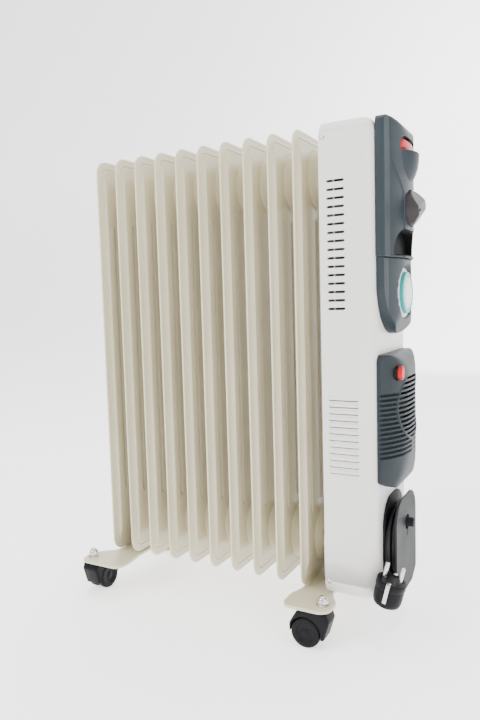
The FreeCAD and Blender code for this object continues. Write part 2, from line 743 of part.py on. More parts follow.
knob_z = base_z + size.knob_height
timer_z = base_z + size.timer_height
grille_z = base_z + size.grille_height
winder_z = base_z + size.winder_centre_height
through = (end_x - 10, end_x + 10)
window = size.mechanism_side / 2 + size.seat_gap
cuts.append(rod(size.spindle_radius + 1, (through[0], 0, knob_z), (through[1], 0, knob_z)))
cuts.append(block(*through, -window, window, timer_z - window, timer_z + window))
cuts.append(rod(size.fan_window_radius, (through[0], 0, grille_z), (through[1], 0, grille_z)))
cuts.append(rod(size.cord_radius + 1, (through[0], 0, winder_z), (through[1], 0, winder_z)))

screw_x = mouth_x + 5.5
screw_heights = (housing_low + 21.5, housing_high - 21.5)
screws = []
for height in screw_heights:
    for side in (-1, 1):
        face_y = side * housing_half
        shank = rod(1.6, (screw_x, face_y - side * 6, height), (screw_x, face_y + side * 0.5, height))
        head = rod(3.3, (screw_x, face_y, height), (screw_x, face_y + side * 1.6, height))
        screws.append(shank.fuse(head).removeSplitter())
        cuts.append(rod(1.6 + size.running_gap, (screw_x, face_y - side * 8, height), (screw_x, face_y + side, height)))
feature("housing", shell.fuse(louvres).cut(cuts).removeSplitter())
feature("housing_screws", Part.Compound(screws))

# ---------------------------------------------------------------- parts behind the end face
shield_corner = size.section_corner + sheet_gap - size.seat_gap
shield_half = size.section_depth / 2 + sheet_gap - size.seat_gap
shield_rise = size.section_height / 2 + sheet_gap - size.seat_gap
shield = prism("YZ", oblong(shield_half, shield_rise, shield_corner, base_z + size.section_height / 2),
               hub_face_x, size.shield_thickness)
shield_holes = [rod(size.element_flange_radius + size.seat_gap, (hub_face_x - 5, 0, lower_hub_z),
                    (hub_face_x + 5, 0, lower_hub_z)),
                rod(plug_radius + size.seat_gap, (hub_face_x - 5, 0, upper_hub_z), (hub_face_x + 5, 0, upper_hub_z))]
feature("heat_shield", shield.cut(shield_holes))
shield_face = hub_face_x + size.shield_thickness
cutout = doc.addObject("Part::Cylinder", "Cutout")
bind(cutout, Radius="cutout_radius", Height="cutout_height")
place(cutout, shield_face, 0, grille_z + 60, (0, 1, 0), 90)
keep(cutout, "thermal_cutout")
inner_face_x = end_x - wall - size.seat_gap
half = size.thermostat_side / 2
case = block(inner_face_x - size.thermostat_length, inner_face_x, -half, half, knob_z - half, knob_z + half)
spindle_back = inner_face_x - 10
feature("thermostat", case.cut(rod(size.spindle_radius + size.running_gap, (spindle_back - 0.5, 0, knob_z),
                                   (inner_face_x + 5, 0, knob_z))))
switch_low = housing_low + wall + size.seat_gap
tip_switch = doc.addObject("Part::Box", "TipSwitch")
tip_switch.Length, tip_switch.Width, tip_switch.Height = 20, 22, 30
place(tip_switch, mouth_x + 25, -11, switch_low)
keep(tip_switch, "tip_over_switch")
terminals = doc.addObject("Part::Box", "Terminals")
terminals.Length, terminals.Width, terminals.Height = 14, 40, 20
place(terminals, inner_face_x - 14, -20, winder_z + 16)
keep(terminals, "terminal_block")

# ---------------------------------------------------------------- front covers
def crown_wire(half_width, edge_x, ridge_y, ridge_x, crown_x, level, back_x):
    """The plan outline of a bowed cover: upright edges, slanted bands and one arc between the ridges."""
    points = [Vector(back_x, -half_width, level), Vector(edge_x, -half_width, level), Vector(ridge_x, -ridge_y, level)]
    other = [Vector(p.x, -p.y, level) for p in reversed(points)]
    edges = [Part.LineSegment(points[0], points[1]).toShape()]
    if (points[2] - points[1]).Length > 1e-6:
        edges.append(Part.LineSegment(points[1], points[2]).toShape())
    edges.append(Part.Arc(points[2], Vector(crown_x, 0, level), other[0]).toShape())
    if (other[1] - other[0]).Length > 1e-6:
        edges.append(Part.LineSegment(other[0], other[1]).toShape())
    edges.append(Part.LineSegment(other[1], other[2]).toShape())
    edges.append(Part.LineSegment(other[2], points[0]).toShape())
    return Part.Wire(edges)


def bowed(half_width, edge, ridge_y, ridge, crown, inset, front, side):
    """A bowed cover's solid: the plan form, the front outline and the side outline in common."""
    back_x = end_x - 16
    wire = crown_wire(half_width - inset, end_x + edge, ridge_y - inset * 0.7, end_x + ridge - inset,
                      end_x + crown - inset, 0, back_x)
    plan = Part.Face(wire).extrude(Vector(0, 0, 700))
    face = Part.Face(outline("YZ", front, back_x - 1))
    profile = Part.Face(outline("XZ", side, -100))
    if inset:
        face = face.makeOffset2D(-inset)
        profile = profile.makeOffset2D(-inset)
    solid = plan.common(face.extrude(Vector(100, 0, 0))).common(profile.extrude(Vector(0, 200, 0)))
    return solid.cut(casing)


seam_z = base_z + size.seam_height
fascia_top = housing_high - size.fascia_top_margin
fascia_half = size.fascia_half_width
fascia_front = [(-fascia_half, seam_z, 0), (fascia_half, seam_z, 0), (fascia_half, fascia_top, 17), (-fascia_half, fascia_top, 17)]
fascia_side = [(end_x - 20, seam_z, 0), (end_x + 40, seam_z, 0), (end_x + 40, fascia_top - 28, 0),
               (end_x + size.fascia_crown - 0.3, fascia_top - 28, 14), (end_x + 13, fascia_top, 8),
               (end_x - 20, fascia_top, 0)]
fascia_numbers = (fascia_half, 0.5, size.fascia_ridge, size.fascia_ridge_height, size.fascia_crown)
fascia_outer = bowed(*fascia_numbers, 0, fascia_front, fascia_side)
fascia_inner = bowed(*fascia_numbers, size.fascia_wall, fascia_front, fascia_side)

rim_z = base_z + size.hood_rim_height
cup_x = end_x + size.hood_reach - size.hood_radius


def cup(inset):
    """A shallow bowl below the lamp, turned about an upright axis behind the fascia."""
    radius = size.hood_radius - inset
    low = rim_z - size.hood_length + inset
    points = [Vector(cup_x, 0, rim_z), Vector(cup_x + radius, 0, rim_z), Vector(cup_x + radius - 1, 0, rim_z - 12),
              Vector(cup_x + radius - 4.5, 0, rim_z - 24), Vector(cup_x + radius - 10, 0, rim_z - 33), Vector(cup_x, 0, low)]
    curve = Part.BSplineCurve()
    curve.interpolate(points[1:5])
    edges = [Part.LineSegment(points[0], points[1]).toShape(), curve.toShape(),
             Part.LineSegment(points[4], points[5]).toShape(), Part.LineSegment(points[5], points[0]).toShape()]
    return Part.Face(Part.Wire(edges)).revolve(Vector(cup_x, 0, 0), Vector(0, 0, 1), 360)


front_only = block(end_x + 17, end_x + 60, -60, 60, rim_z - 60, rim_z + 20)
fascia = fascia_outer.fuse(cup(0).common(front_only))
fascia = fascia.cut(cup(size.fascia_wall).cut(fascia_outer)).cut(fascia_inner)
recess_low = seam_z + size.recess_margin
recess_high = recess_low + size.recess_height
recess = size.recess_half_width
recess_corners = [(-recess, recess_low, 3), (recess, recess_low, 3), (recess, recess_high, 26), (-recess, recess_high, 26)]
front_x = (end_x + 4, end_x + 60)
knob_hole = size.knob_radius + size.knob_hole_gap
lamp_half, lamp_top = size.lamp_half_width, rim_z + size.lamp_gap + size.lamp_rise
lamp_corners = [(-lamp_half, rim_z + size.lamp_gap, 2), (lamp_half, rim_z + size.lamp_gap, 2),
                (lamp_half, lamp_top, 10.5), (-lamp_half, lamp_top, 10.5)]
lamp_face = Part.Face(outline("YZ", lamp_corners, front_x[0]))
fascia = fascia.cut([
    lamp_face.makeOffset2D(size.lamp_gap - 0.2).extrude(Vector(56, 0, 0)),
    rod(knob_hole, (front_x[0], 0, knob_z), (front_x[1], 0, knob_z)),
    prism("YZ", recess_corners, front_x[0], 56)])
feature("fascia", fascia.removeSplitter())

cup_face = Part.Face(outline("YZ", recess_corners, end_x + size.fascia_crown - size.fascia_wall - size.recess_depth))
cup_solid = cup_face.makeOffset2D(-size.seat_gap).extrude(Vector(60, 0, 0)).common(fascia_outer)
cup_space = cup_face.makeOffset2D(-size.seat_gap - 1.8).extrude(Vector(60, 0, 0))
cup_space.translate(Vector(1.8, 0, 0))
feature("hand_recess_cup", cup_solid.cut(cup_space))

lens_back = end_x + size.fascia_crown - size.fascia_wall - 12
lens_face = Part.Face(outline("YZ", lamp_corners, lens_back))
lens = lens_face.extrude(Vector(40, 0, 0)).common(fascia_outer)
lens_rim = lens_face.makeOffset2D(size.lamp_gap + 2).extrude(Vector(2, 0, 0))
feature("pilot_lens", lens.fuse(lens_rim).removeSplitter())

# thermostat knob and spindle
knob_back = end_x + 16
knob_tip = end_x + size.knob_reach
knob = rod(size.knob_radius, (knob_back, 0, knob_z), (knob_tip, 0, knob_z))
slope_x = knob_back + 9
for side in (-1, 1):
    facet = [(slope_x, side * (size.knob_radius + 0.5), 0), (knob_tip + 1, side * 5.0, 0),
             (knob_tip + 1, side * (size.knob_radius + 3), 0)]
    knob = knob.cut(prism("XY", facet, knob_z - 40, 80))
spindle_tip = knob_tip - 8
bore = rod(size.spindle_radius, (knob_back - 5, 0, knob_z), (spindle_tip, 0, knob_z))
knob.rotate(Vector(0, 0, knob_z), Vector(1, 0, 0), size.knob_turn)
feature("thermostat_knob", knob.cut(bore).removeSplitter())
spindle = doc.addObject("Part::Cylinder", "Spindle")
bind(spindle, Radius="spindle_radius")
spindle.Height = spindle_tip - spindle_back
place(spindle, spindle_back, 0, knob_z, (0, 1, 0), 90)
keep(spindle, "thermostat_spindle")

# ---------------------------------------------------------------- timer
timer_top = seam_z - size.trim_gap
timer_low = timer_top - size.timer_cover_length
timer_half = fascia_half - 1
timer_front = [(-timer_half, timer_low, 60), (timer_half, timer_low, 60), (timer_half, timer_top, 0), (-timer_half, timer_top, 0)]
timer_side = [(end_x - 20, timer_low, 0), (end_x + 14, timer_low, 5), (end_x + size.timer_crown, timer_low + 9, 6),
              (end_x + 60, timer_low + 9, 0), (end_x + 60, timer_top, 0), (end_x - 20, timer_top, 0)]
timer_numbers = (timer_half, 0.5, size.fascia_ridge - 1, size.fascia_ridge_height - 2, size.timer_crown)
timer_cover = bowed(*timer_numbers, 0, timer_front, timer_side)
timer_cover = timer_cover.cut(bowed(*timer_numbers, size.fascia_wall, timer_front, timer_side))
dial_hole = size.dial_ring_radius + 0.8
feature("timer_cover", timer_cover.cut(rod(dial_hole, (front_x[0], 0, timer_z), (front_x[1], 0, timer_z))))

mechanism_front = end_x + 12.5
half = size.mechanism_side / 2
mechanism = block(mechanism_front - size.mechanism_length, mechanism_front, -half, half, timer_z - half, timer_z + half)
shaft_back = mechanism_front - 8
feature("timer_mechanism", mechanism.cut(rod(4 + size.running_gap, (shaft_back - 0.5, 0, timer_z),
                                             (mechanism_front + 5, 0, timer_z))))
dial_front = end_x + size.dial_reach
plate_back = mechanism_front + 0.4
ring_back = plate_back + 1.6
dial = rod(size.dial_ring_radius, (plate_back, 0, timer_z), (ring_back, 0, timer_z))
dial = dial.fuse([rod(size.dial_radius, (plate_back, 0, timer_z), (dial_front - 1.5, 0, timer_z)),
                  rod(size.dial_radius - 6, (plate_back, 0, timer_z), (dial_front, 0, timer_z)),
                  rod(4, (shaft_back, 0, timer_z), (plate_back + 1, 0, timer_z))])
feature("timer_dial", dial.removeSplitter())
tappet_front = dial_front - 4.5
ring = rod(size.dial_ring_radius, (ring_back, 0, timer_z), (tappet_front, 0, timer_z))
ring = ring.cut(rod(size.dial_radius, (ring_back - 1, 0, timer_z), (tappet_front + 1, 0, timer_z)))
notch = block(ring_back + 1, tappet_front + 1, -0.25, 0.25, timer_z + size.dial_radius + 1.5, timer_z + size.dial_ring_radius + 2)
feature("timer_tappets", ring.cut(ring_of(notch, int(size.tappet_count), Vector(0, 0, timer_z), Vector(1, 0, 0))))

# ---------------------------------------------------------------- fan heater
cover_low = base_z + size.cover_bottom_height
cover_high = base_z + size.cover_top_height
cover_half = size.cover_half_width
cover_front = [(-cover_half, cover_low + 15, 5), (0, cover_low - 4, 150), (cover_half, cover_low + 15, 5),
               (cover_half, cover_high, 9), (-cover_half, cover_high, 9)]
cover_peak_x = end_x + size.cover_crown + 0.2
cover_side = [(end_x - 20, cover_low - 10, 0), (end_x + 6, cover_low - 10, 5), (cover_peak_x, cover_low + 57, 50),
              (cover_peak_x, cover_high - 22, 15), (end_x + 16, cover_high, 9), (end_x - 20, cover_high, 0)]
cover_numbers = (cover_half, size.cover_edge_height, cover_half, size.cover_edge_height, size.cover_crown)
cover = bowed(*cover_numbers, 0, cover_front, cover_side)
cover_space = bowed(cover_half, size.cover_edge_height, cover_half, size.cover_edge_height + size.cover_wall,
                    size.cover_crown, size.cover_wall, cover_front, cover_side)
cover = cover.cut(cover_space)
first_rib_z = grille_z + size.rib_pitch * 3
circle = rod(size.grille_radius, (front_x[0], 0, grille_z), (front_x[1], 0, grille_z))
openings = []
for i in range(-3, int(size.rib_count)):
    z = first_rib_z - i * size.rib_pitch
    openings.append(block(end_x + 12, end_x + 60, -60, 60, z - size.rib_gap / 2, z + size.rib_gap / 2).common(circle))
button_y = -size.button_side
button_z = base_z + size.button_height
well = rod(size.button_radius + 1.3, (front_x[0], button_y, button_z), (front_x[1], button_y, button_z))
cover = cover.cut([slot for slot in openings if slot.Volume > 1]).cut(well)
feature("fan_cover", cover.removeSplitter())

switch_face = end_x + 10.5
stem_back = end_x + 4.5
half = 8.0
switch = block(end_x + size.seat_gap, switch_face, button_y - half, button_y + half, button_z - half, button_z + half)
stem_radius = 2.5
feature("fan_switch", switch.cut(rod(stem_radius + size.running_gap, (stem_back - size.button_travel - 0.4, button_y, button_z),
                                     (switch_face + 5, button_y, button_z))))
button_tip = end_x + size.button_reach
button = rod(size.button_radius, (button_tip - 10, button_y, button_z), (button_tip, button_y, button_z))
button = button.makeFillet(1.2, [edge for edge in button.Edges if edge.BoundBox.XMin > button_tip - 0.01])
feature("fan_button", button.fuse(rod(stem_radius, (stem_back, button_y, button_z),
                                      (button_tip - 5, button_y, button_z))).removeSplitter())

ring_outer = size.fan_window_radius - size.seat_gap
ring_inner = ring_outer - 3.2
frame_back = end_x - 8.5
frame_front = end_x + 14.5
frame = rod(ring_outer, (frame_back, 0, grille_z), (frame_front, 0, grille_z))
frame = frame.cut(rod(ring_inner, (frame_back - 1, 0, grille_z), (frame_front + 1, 0, grille_z)))
spider = rod(size.motor_radius, (frame_back, 0, grille_z), (frame_back + 2.5, 0, grille_z))
arm = block(frame_back, frame_back + 2.5, -3, 3, grille_z, grille_z + ring_inner + 1)
motor_bore = rod(1.5 + size.seat_gap, (frame_back - 5, 0, grille_z), (frame_back + 10, 0, grille_z))
feature("fan_frame", frame.fuse([spider] + ring_of(arm, 4, Vector(0, 0, grille_z), Vector(1, 0, 0))).cut(motor_bore))
motor = rod(size.motor_radius, (frame_back - size.motor_length, 0, grille_z), (frame_back, 0, grille_z))
shaft_start = frame_back - 10
feature("fan_motor", motor.cut(rod(1.5 + size.running_gap, (shaft_start - 0.5, 0, grille_z), (frame_back + 1, 0, grille_z))))
impeller_back = end_x - 2
impeller_front = impeller_back + size.impeller_length
blade = prism("XY", [(impeller_back, -3.2, 0), (impeller_back + 1, -3.2, 0), (impeller_front, 3.2, 0), (impeller_front - 1, 3.2, 0)],
              grille_z + 7, size.impeller_radius - 7.5)
hub = rod(9, (impeller_back, 0, grille_z), (impeller_front, 0, grille_z))
shaft = rod(1.5, (shaft_start, 0, grille_z), (impeller_back + 1, 0, grille_z))
feature("fan_impeller", hub.fuse([shaft] + ring_of(blade, 7, Vector(0, 0, grille_z), Vector(1, 0, 0))).removeSplitter())
ptc = rod(ring_inner - size.seat_gap, (frame_front - 6.5, 0, grille_z), (frame_front - 6.5 + size.ptc_thickness, 0, grille_z))
vents = [block(frame_front - 10, frame_front + 10, -30, 30, grille_z + up - 1.2, grille_z + up + 1.2)
         for up in (-20, -12, -4, 4, 12, 20)]
feature("ptc_heater", ptc.cut(vents))

# ---------------------------------------------------------------- cord winder
base_front = end_x + size.winder_base_thickness
winding_back = base_front + size.winder_fit
winding_front = winding_back + size.winding_depth
flange_back = winding_front + size.winder_fit
flange_front = flange_back + size.flange_thickness
core_half, core_rise = size.winder_core_half_width, size.winder_core_half_height
core_radius = core_half - 2
base_corners = [(-46, winder_z - 64, 6), (46, winder_z - 64, 6), (46, winder_z + 64, 34), (-46, winder_z + 64, 34)]
base_plate = prism("YZ", base_corners, end_x, size.winder_base_thickness)
core = prism("YZ", oblong(core_half, core_rise, core_radius, winder_z), base_front - 1, flange_back - base_front + 1)
tray_low = winder_z - 67
tray = prism("XY", [(end_x - 8, -52, 3), (base_front + size.tray_reach - 4, -52, 5), (base_front + size.tray_reach - 4, 46, 5),
                    (end_x - 8, 46, 3)], tray_low, size.tray_thickness)
post_z = winder_z + 26
post = rod(6, (base_front - 1, 3, post_z), (flange_front + 8.5, 3, post_z))
winder = base_plate.fuse([core, tray])
winder = winder.cut(prism("YZ", oblong(core_half - 2.5, core_rise - 2.5, core_radius - 2.5, winder_z), end_x - 1, 13))
winder = winder.fuse(post).cut(casing)
feature("winder_base", winder.removeSplitter())

flange_half, flange_rise = size.flange_half_width, size.flange_half_height
flange_corners = [(-flange_half, winder_z - flange_rise + 12, 4), (-30, winder_z - flange_rise, 8), (30, winder_z - flange_rise, 8),
                  (flange_half, winder_z - flange_rise + 12, 4), (flange_half, winder_z + flange_rise, 30), (-flange_half, winder_z + flange_rise, 30)]
winder_flange = prism("YZ", flange_corners, flange_back, size.flange_thickness)
cut_out = rod(10, (flange_back - 1, 3, post_z), (flange_front + 1, 3, post_z))
slit = block(flange_back - 1, flange_front + 1, 1.8, 4.2, post_z - 19, post_z - 5)
feature("winder_flange", winder_flange.cut([cut_out, slit]))

winding_half, winding_rise = size.winding_half_width, size.winding_half_height
winding_z = winder_z + 1.5
winding = prism("YZ", oblong(winding_half, winding_rise, size.winding_corner, winding_z), winding_back, size.winding_depth)
fit = size.winder_fit
winding = winding.cut(prism("YZ", oblong(core_half + fit, core_rise + fit, core_radius + fit, winder_z), winding_back - 1, 30))
gland_low, gland_high = winder_z - 11, winder_z + 24
gland_side = core_half + 8
winding = winding.cut(block(winding_back - 1, base_front + 8 + fit, core_half - 3, gland_side + fit, gland_low, gland_high + fit))
feature("cord_winding", winding)
gland = prism("XY", [(base_front, core_half, 0), (base_front + 8, core_half, 0), (base_front + 8, gland_side, 2), (base_front, gland_side, 0)],
              gland_low, gland_high - gland_low)
feature("cord_gland", gland)

# ---------------------------------------------------------------- plug
tilt = math.radians(size.plug_tilt)
lean = Vector(math.sin(tilt), 0, math.cos(tilt))
across = Vector(math.cos(tilt), 0, -math.sin(tilt))
face_centre = Vector(end_x + 19.7, -size.plug_side, base_z + 37.3)
boss_x = winding_front - size.cord_radius - 0.2
boss_z = (face_centre - lean * (size.plug_depth - 5)).z


def along(point, vector, distance):
    return tuple(point + vector * distance)


plug = rod(size.plug_radius, along(face_centre, lean, -size.plug_depth), tuple(face_centre))
ends = [edge for edge in plug.Edges if isinstance(edge.Curve, Part.Circle)]
back_edge = min(ends, key=lambda edge: edge.Curve.Center.z)
plug = plug.makeFillet(4, [back_edge])
boss_end = -size.plug_side + size.plug_radius + 2
boss = rod(6.5, (boss_x, -size.plug_side, boss_z), (boss_x, boss_end, boss_z))
plug = plug.fuse(boss)
pins = []
for sign in (-1, 1):
    foot = face_centre + across * (sign * size.pin_spacing / 2)
    pin = rod(size.pin_radius, along(foot, lean, size.pin_root_rise), along(foot, lean, size.pin_length))
    root = rod(size.pin_root_radius, along(foot, lean, -8), along(foot, lean, size.pin_root_rise + 1))
    tip = max((edge for edge in pin.Edges if isinstance(edge.Curve, Part.Circle)), key=lambda edge: edge.Curve.Center.z)
    pins.append(pin.makeFillet(1.0, [tip]).fuse(root).removeSplitter())
clips = []
for sign in (-1, 1):
    side = sign * (size.plug_radius - 1.2)
    strip = block(-2.3, 2.3, min(side, side + sign * 1.6), max(side, side + sign * 1.6), -24, 0.8)
    tab = block(-2.3, 2.3, min(side, side - sign * 4), max(side, side - sign * 4), -0.6, 0.8)
    clip = strip.fuse(tab).removeSplitter()
    clip.rotate(Vector(0, 0, 0), Vector(0, 1, 0), size.plug_tilt)
    clip.translate(face_centre)
    clips.append(clip)
feature("plug_body", plug.cut(pins + clips).removeSplitter())
feature("plug_pins", Part.Compound(pins))
feature("plug_earth_clips", Part.Compound(clips))

# ---------------------------------------------------------------- cord tail
bottom_z = winding_z - winding_rise + size.cord_radius
TAIL_POINTS = [(winding_back + 6.3, -14.0, bottom_z), (winding_back + 7.0, -32.0, bottom_z),
               (boss_x, -46.0, boss_z), (boss_x, boss_end, boss_z)]


def rounded_route(points):
    """Straight runs joined by tangent arcs; prints each turn's radius and returns the wire and its length."""
    points = [Vector(*point) for point in points]
    edges = []
    start = points[0]
    for i in range(1, len(points) - 1):
        before, after = points[i] - points[i - 1], points[i + 1] - points[i]
        half_turn = before.getAngle(after) / 2
        reach = 0.45 * min(before.Length, after.Length)
        radius = reach / math.tan(half_turn)
        back, ahead = before.normalize(), after.normalize()
        entry, leave = points[i] - back * reach, points[i] + ahead * reach
        inward = (ahead - back).normalize()
        crest = points[i] + inward * (radius / math.cos(half_turn) - radius)
        edges.append(Part.LineSegment(start, entry).toShape())
        edges.append(Part.Arc(entry, crest, leave).toShape())
        print("cord turn %d: radius %.1f mm, turn %.0f degrees" % (i, radius, math.degrees(2 * half_turn)))
        start = leave
    edges.append(Part.LineSegment(start, points[-1]).toShape())
    return Part.Wire(edges)


def tube(points, radius):
    """A round tube swept along a rounded route."""
    wire = rounded_route(points)
    direction = Vector(*points[1]) - Vector(*points[0])
    section_wire = Part.Wire(Part.makeCircle(radius, Vector(*points[0]), direction))
    shape = wire.makePipeShell([section_wire], True, True)
    expected = math.pi * radius ** 2 * wire.Length
    print("cord tube: volume %.0f, section times length %.0f, length %.1f" % (shape.Volume, expected, wire.Length))
    return shape


feature("cord_tail", tube(TAIL_POINTS, size.cord_radius))

# ---------------------------------------------------------------- checks and export
doc.recompute()
for obj in doc.Objects:
    if "Invalid" in obj.State or "Error" in obj.State:
        raise RuntimeError("object in error: " + obj.Label)
os.makedirs("parts", exist_ok=True)
for obj in PARTS:
    shape = obj.Shape
    if shape.isNull() or not shape.isValid() or not shape.Solids:
        raise RuntimeError("bad shape: " + obj.Label)
    shape.exportStep("parts/%s.step" % obj.Label)
print(len(PARTS), "sub-parts written")
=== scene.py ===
"""Looks of an oil filled radiator heater: enamelled sections, casing, moulded covers, casters and cord."""
import bpy
import bmesh
import math
import numpy as np
from mathutils import Matrix


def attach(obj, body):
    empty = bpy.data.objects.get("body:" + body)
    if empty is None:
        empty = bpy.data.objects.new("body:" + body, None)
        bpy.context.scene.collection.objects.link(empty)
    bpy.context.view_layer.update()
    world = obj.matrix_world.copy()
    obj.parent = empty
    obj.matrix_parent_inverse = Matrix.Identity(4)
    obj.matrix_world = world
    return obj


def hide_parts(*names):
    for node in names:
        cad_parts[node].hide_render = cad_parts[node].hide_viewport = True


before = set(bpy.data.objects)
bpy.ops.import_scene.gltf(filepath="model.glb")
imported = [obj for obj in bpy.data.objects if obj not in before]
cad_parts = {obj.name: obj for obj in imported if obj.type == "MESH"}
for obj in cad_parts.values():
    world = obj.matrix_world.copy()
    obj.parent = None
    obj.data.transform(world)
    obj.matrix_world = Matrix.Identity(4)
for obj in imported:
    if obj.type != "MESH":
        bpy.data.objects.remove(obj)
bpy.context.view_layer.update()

MM = 0.001
scene = bpy.context.scene


# ------------------------------------------------------------------ camera
def aim_camera(place, yaw, pitch, roll, lens):
    """Sets the camera at place (mm); yaw (0 is +Y, clockwise from above), pitch and roll in degrees."""
    yaw, pitch, roll = (math.radians(a) for a in (yaw, pitch, roll))
    ahead = np.array([math.sin(yaw) * math.cos(pitch), math.cos(yaw) * math.cos(pitch), math.sin(pitch)])
    right = np.array([math.cos(yaw), -math.sin(yaw), 0.0])
    up = np.cross(right, ahead)
    rolled_right = math.cos(roll) * right + math.sin(roll) * up
    rolled_up = -math.sin(roll) * right + math.cos(roll) * up
    data = bpy.data.cameras.new("camera")
    data.lens = lens
    data.sensor_width = 36.0
    data.clip_start, data.clip_end = 0.01, 30.0
    camera = bpy.data.objects.new("camera", data)
    scene.collection.objects.link(camera)
    matrix = np.eye(4)
    matrix[:3, 0], matrix[:3, 1], matrix[:3, 2] = rolled_right, rolled_up, -ahead
    matrix[:3, 3] = np.array(place) * MM
    camera.matrix_world = Matrix(matrix.tolist())
    scene.camera = camera


aim_camera((409.99, -792.86, 423.31), -28.528, -5.091, -1.651, 31.44)


# ------------------------------------------------------------------ surfaces as arrays
def ramp(value, low, high):
    """Smooth step: 0 below low, 1 above high, 3t^2 - 2t^3 between."""
    t = np.clip((value - low) / (high - low), 0, 1)
    return t * t * (3 - 2 * t)


def soft_min(a, b, k):
    """The lesser of a and b, rounded over a width k: min(a, b) - k h^2 / 4, h = max(1 - |a - b| / k, 0)."""
    h = np.clip(1 - np.abs(a - b) / k, 0, 1)
    return np.minimum(a, b) - k * h * h / 4


def rounding(depth, radius):
    """How far a rounded edge falls at a distance depth from it: r - sqrt(r^2 - (r - d)^2), and 0 past r."""
    t = np.clip(radius - depth, 0, radius)
    return radius - np.sqrt(radius * radius - t * t)


def rounded_outline(corners, steps=6):
    """Points round a polygon of corners (u, v, radius), each corner replaced by its tangent arc."""
    corners = np.array(corners, float)
    here = corners[:, :2]
    back, ahead = np.roll(here, 1, axis=0) - here, np.roll(here, -1, axis=0) - here
    back /= np.linalg.norm(back, axis=1)[:, None]
    ahead /= np.linalg.norm(ahead, axis=1)[:, None]
    outline = []
    for p, b, a, radius in zip(here, back, ahead, corners[:, 2]):
        middle = a + b
        if radius == 0 or np.linalg.norm(middle) < 1e-6:
            outline.append(p[None])
            continue
        half = math.acos(np.clip(a @ b, -1, 1)) / 2
        centre = p + middle / np.linalg.norm(middle) * radius / math.sin(half)
        first, last = p + b * radius / math.tan(half) - centre, p + a * radius / math.tan(half) - centre
        t = np.linspace(0, 1, steps)[:, None]
        bow = first * (1 - t) + last * t
        outline.append(centre + bow / np.linalg.norm(bow, axis=1)[:, None] * radius)
    return np.vstack(outline)


def depth_in(u, v, outline):
    """Distance inwards from a closed outline, negative outside it; the side is told by counting crossings."""
    a, b = outline, np.roll(outline, -1, axis=0)
    run = b - a
    least = np.full(len(u), np.inf)
    crossed = np.zeros(len(u), int)
    for (au, av), (ru, rv) in zip(a, run):
        t = np.clip(((u - au) * ru + (v - av) * rv) / max(ru * ru + rv * rv, 1e-12), 0, 1)
        least = np.minimum(least, np.hypot(u - au - t * ru, v - av - t * rv))
        spans = (av > v) != (av + rv > v)
        crossed += spans & (u < au + (v - av) * ru / (rv if rv else 1e-12))
    return np.where(crossed % 2 == 1, least, -least)


def pill(u, v, half_u, low, high):
    """Distance inwards from an upright slot with round ends, centred on u = 0."""
    return half_u - np.hypot(u, v - np.clip(v, low + half_u, high - half_u))


def sheet_grid(us, vs):
    """Points (u, v) at every crossing of two rows of values, with two triangles in each cell."""
    points = np.stack(np.meshgrid(us, vs, indexing="ij"), -1).reshape(-1, 2)
    index = np.arange(len(us) * len(vs)).reshape(len(us), len(vs))
    a, b, c, d = index[:-1, :-1], index[1:, :-1], index[1:, 1:], index[:-1, 1:]
    faces = np.concatenate([np.stack([a, b, c], -1).reshape(-1, 3), np.stack([a, c, d], -1).reshape(-1, 3)])
    return points, faces


def spaced(low, high, step):
    return np.linspace(low, high, max(2, int(round((high - low) / step)) + 1))


def weld(points, faces):
    """Joins points that lie together and drops faces that this flattens."""
    _, first, same = np.unique(np.round(points, 5), axis=0, return_index=True, return_inverse=True)
    faces = same.reshape(-1)[faces]
    flat = (faces[:, 0] == faces[:, 1]) | (faces[:, 1] == faces[:, 2]) | (faces[:, 0] == faces[:, 2])
    return points[first], faces[~flat]


def clip(points, faces, value, both=False):
    """Keeps the part of a triangle mesh where value > 0, cutting the triangles that its zero line crosses.

    With both, the other part stays too, so the line is only scored into the mesh.
    """
    value = np.where(np.abs(value) < 1e-3, 1e-3, value)
    inside = value > 0
    count = inside[faces].sum(1)
    kept, grown, total = [faces[count == 3]], [points], len(points)
    if both:
        kept.append(faces[count == 0])
    for wanted in (1, 2):
        some = faces[count == wanted]
        lone = (inside[some] == (wanted == 1)).argmax(1)
        rows = np.arange(len(some))
        a, b, c = (some[rows, (lone + k) % 3] for k in range(3))
        shares = [(value[a] / (value[a] - value[q]))[:, None] for q in (b, c)]
        cuts = [points[a] + (points[q] - points[a]) * share for q, share in zip((b, c), shares)]
        on_ab, on_ac = total + rows, total + len(some) + rows
        total += 2 * len(some)
        grown += cuts
        if wanted == 1 or both:
            kept.append(np.stack([a, on_ab, on_ac], -1))
        if wanted == 2 or both:
            kept.append(np.stack([on_ab, b, c], -1))
            kept.append(np.stack([on_ab, c, on_ac], -1))
    points, faces = weld(np.vstack(grown), np.vstack(kept))
    used, faces = np.unique(faces, return_inverse=True)
    return points[used], faces.reshape(-1, 3)


def open_edges(faces):
    """The directed edges that only one face uses."""
    edges = np.vstack([faces[:, [0, 1]], faces[:, [1, 2]], faces[:, [2, 0]]])
    _, index, counts = np.unique(np.sort(edges, 1), axis=0, return_index=True, return_counts=True)
    return edges[index[counts == 1]]


def normals(points, faces):
    """Unit normals at the points, each the sum of its faces' area vectors."""
    corner = points[faces]
    area = np.cross(corner[:, 1] - corner[:, 0], corner[:, 2] - corner[:, 0])
    total = np.zeros_like(points)
    for k in range(3):
        np.add.at(total, faces[:, k], area)
    return total / np.maximum(np.linalg.norm(total, axis=1), 1e-12)[:, None]


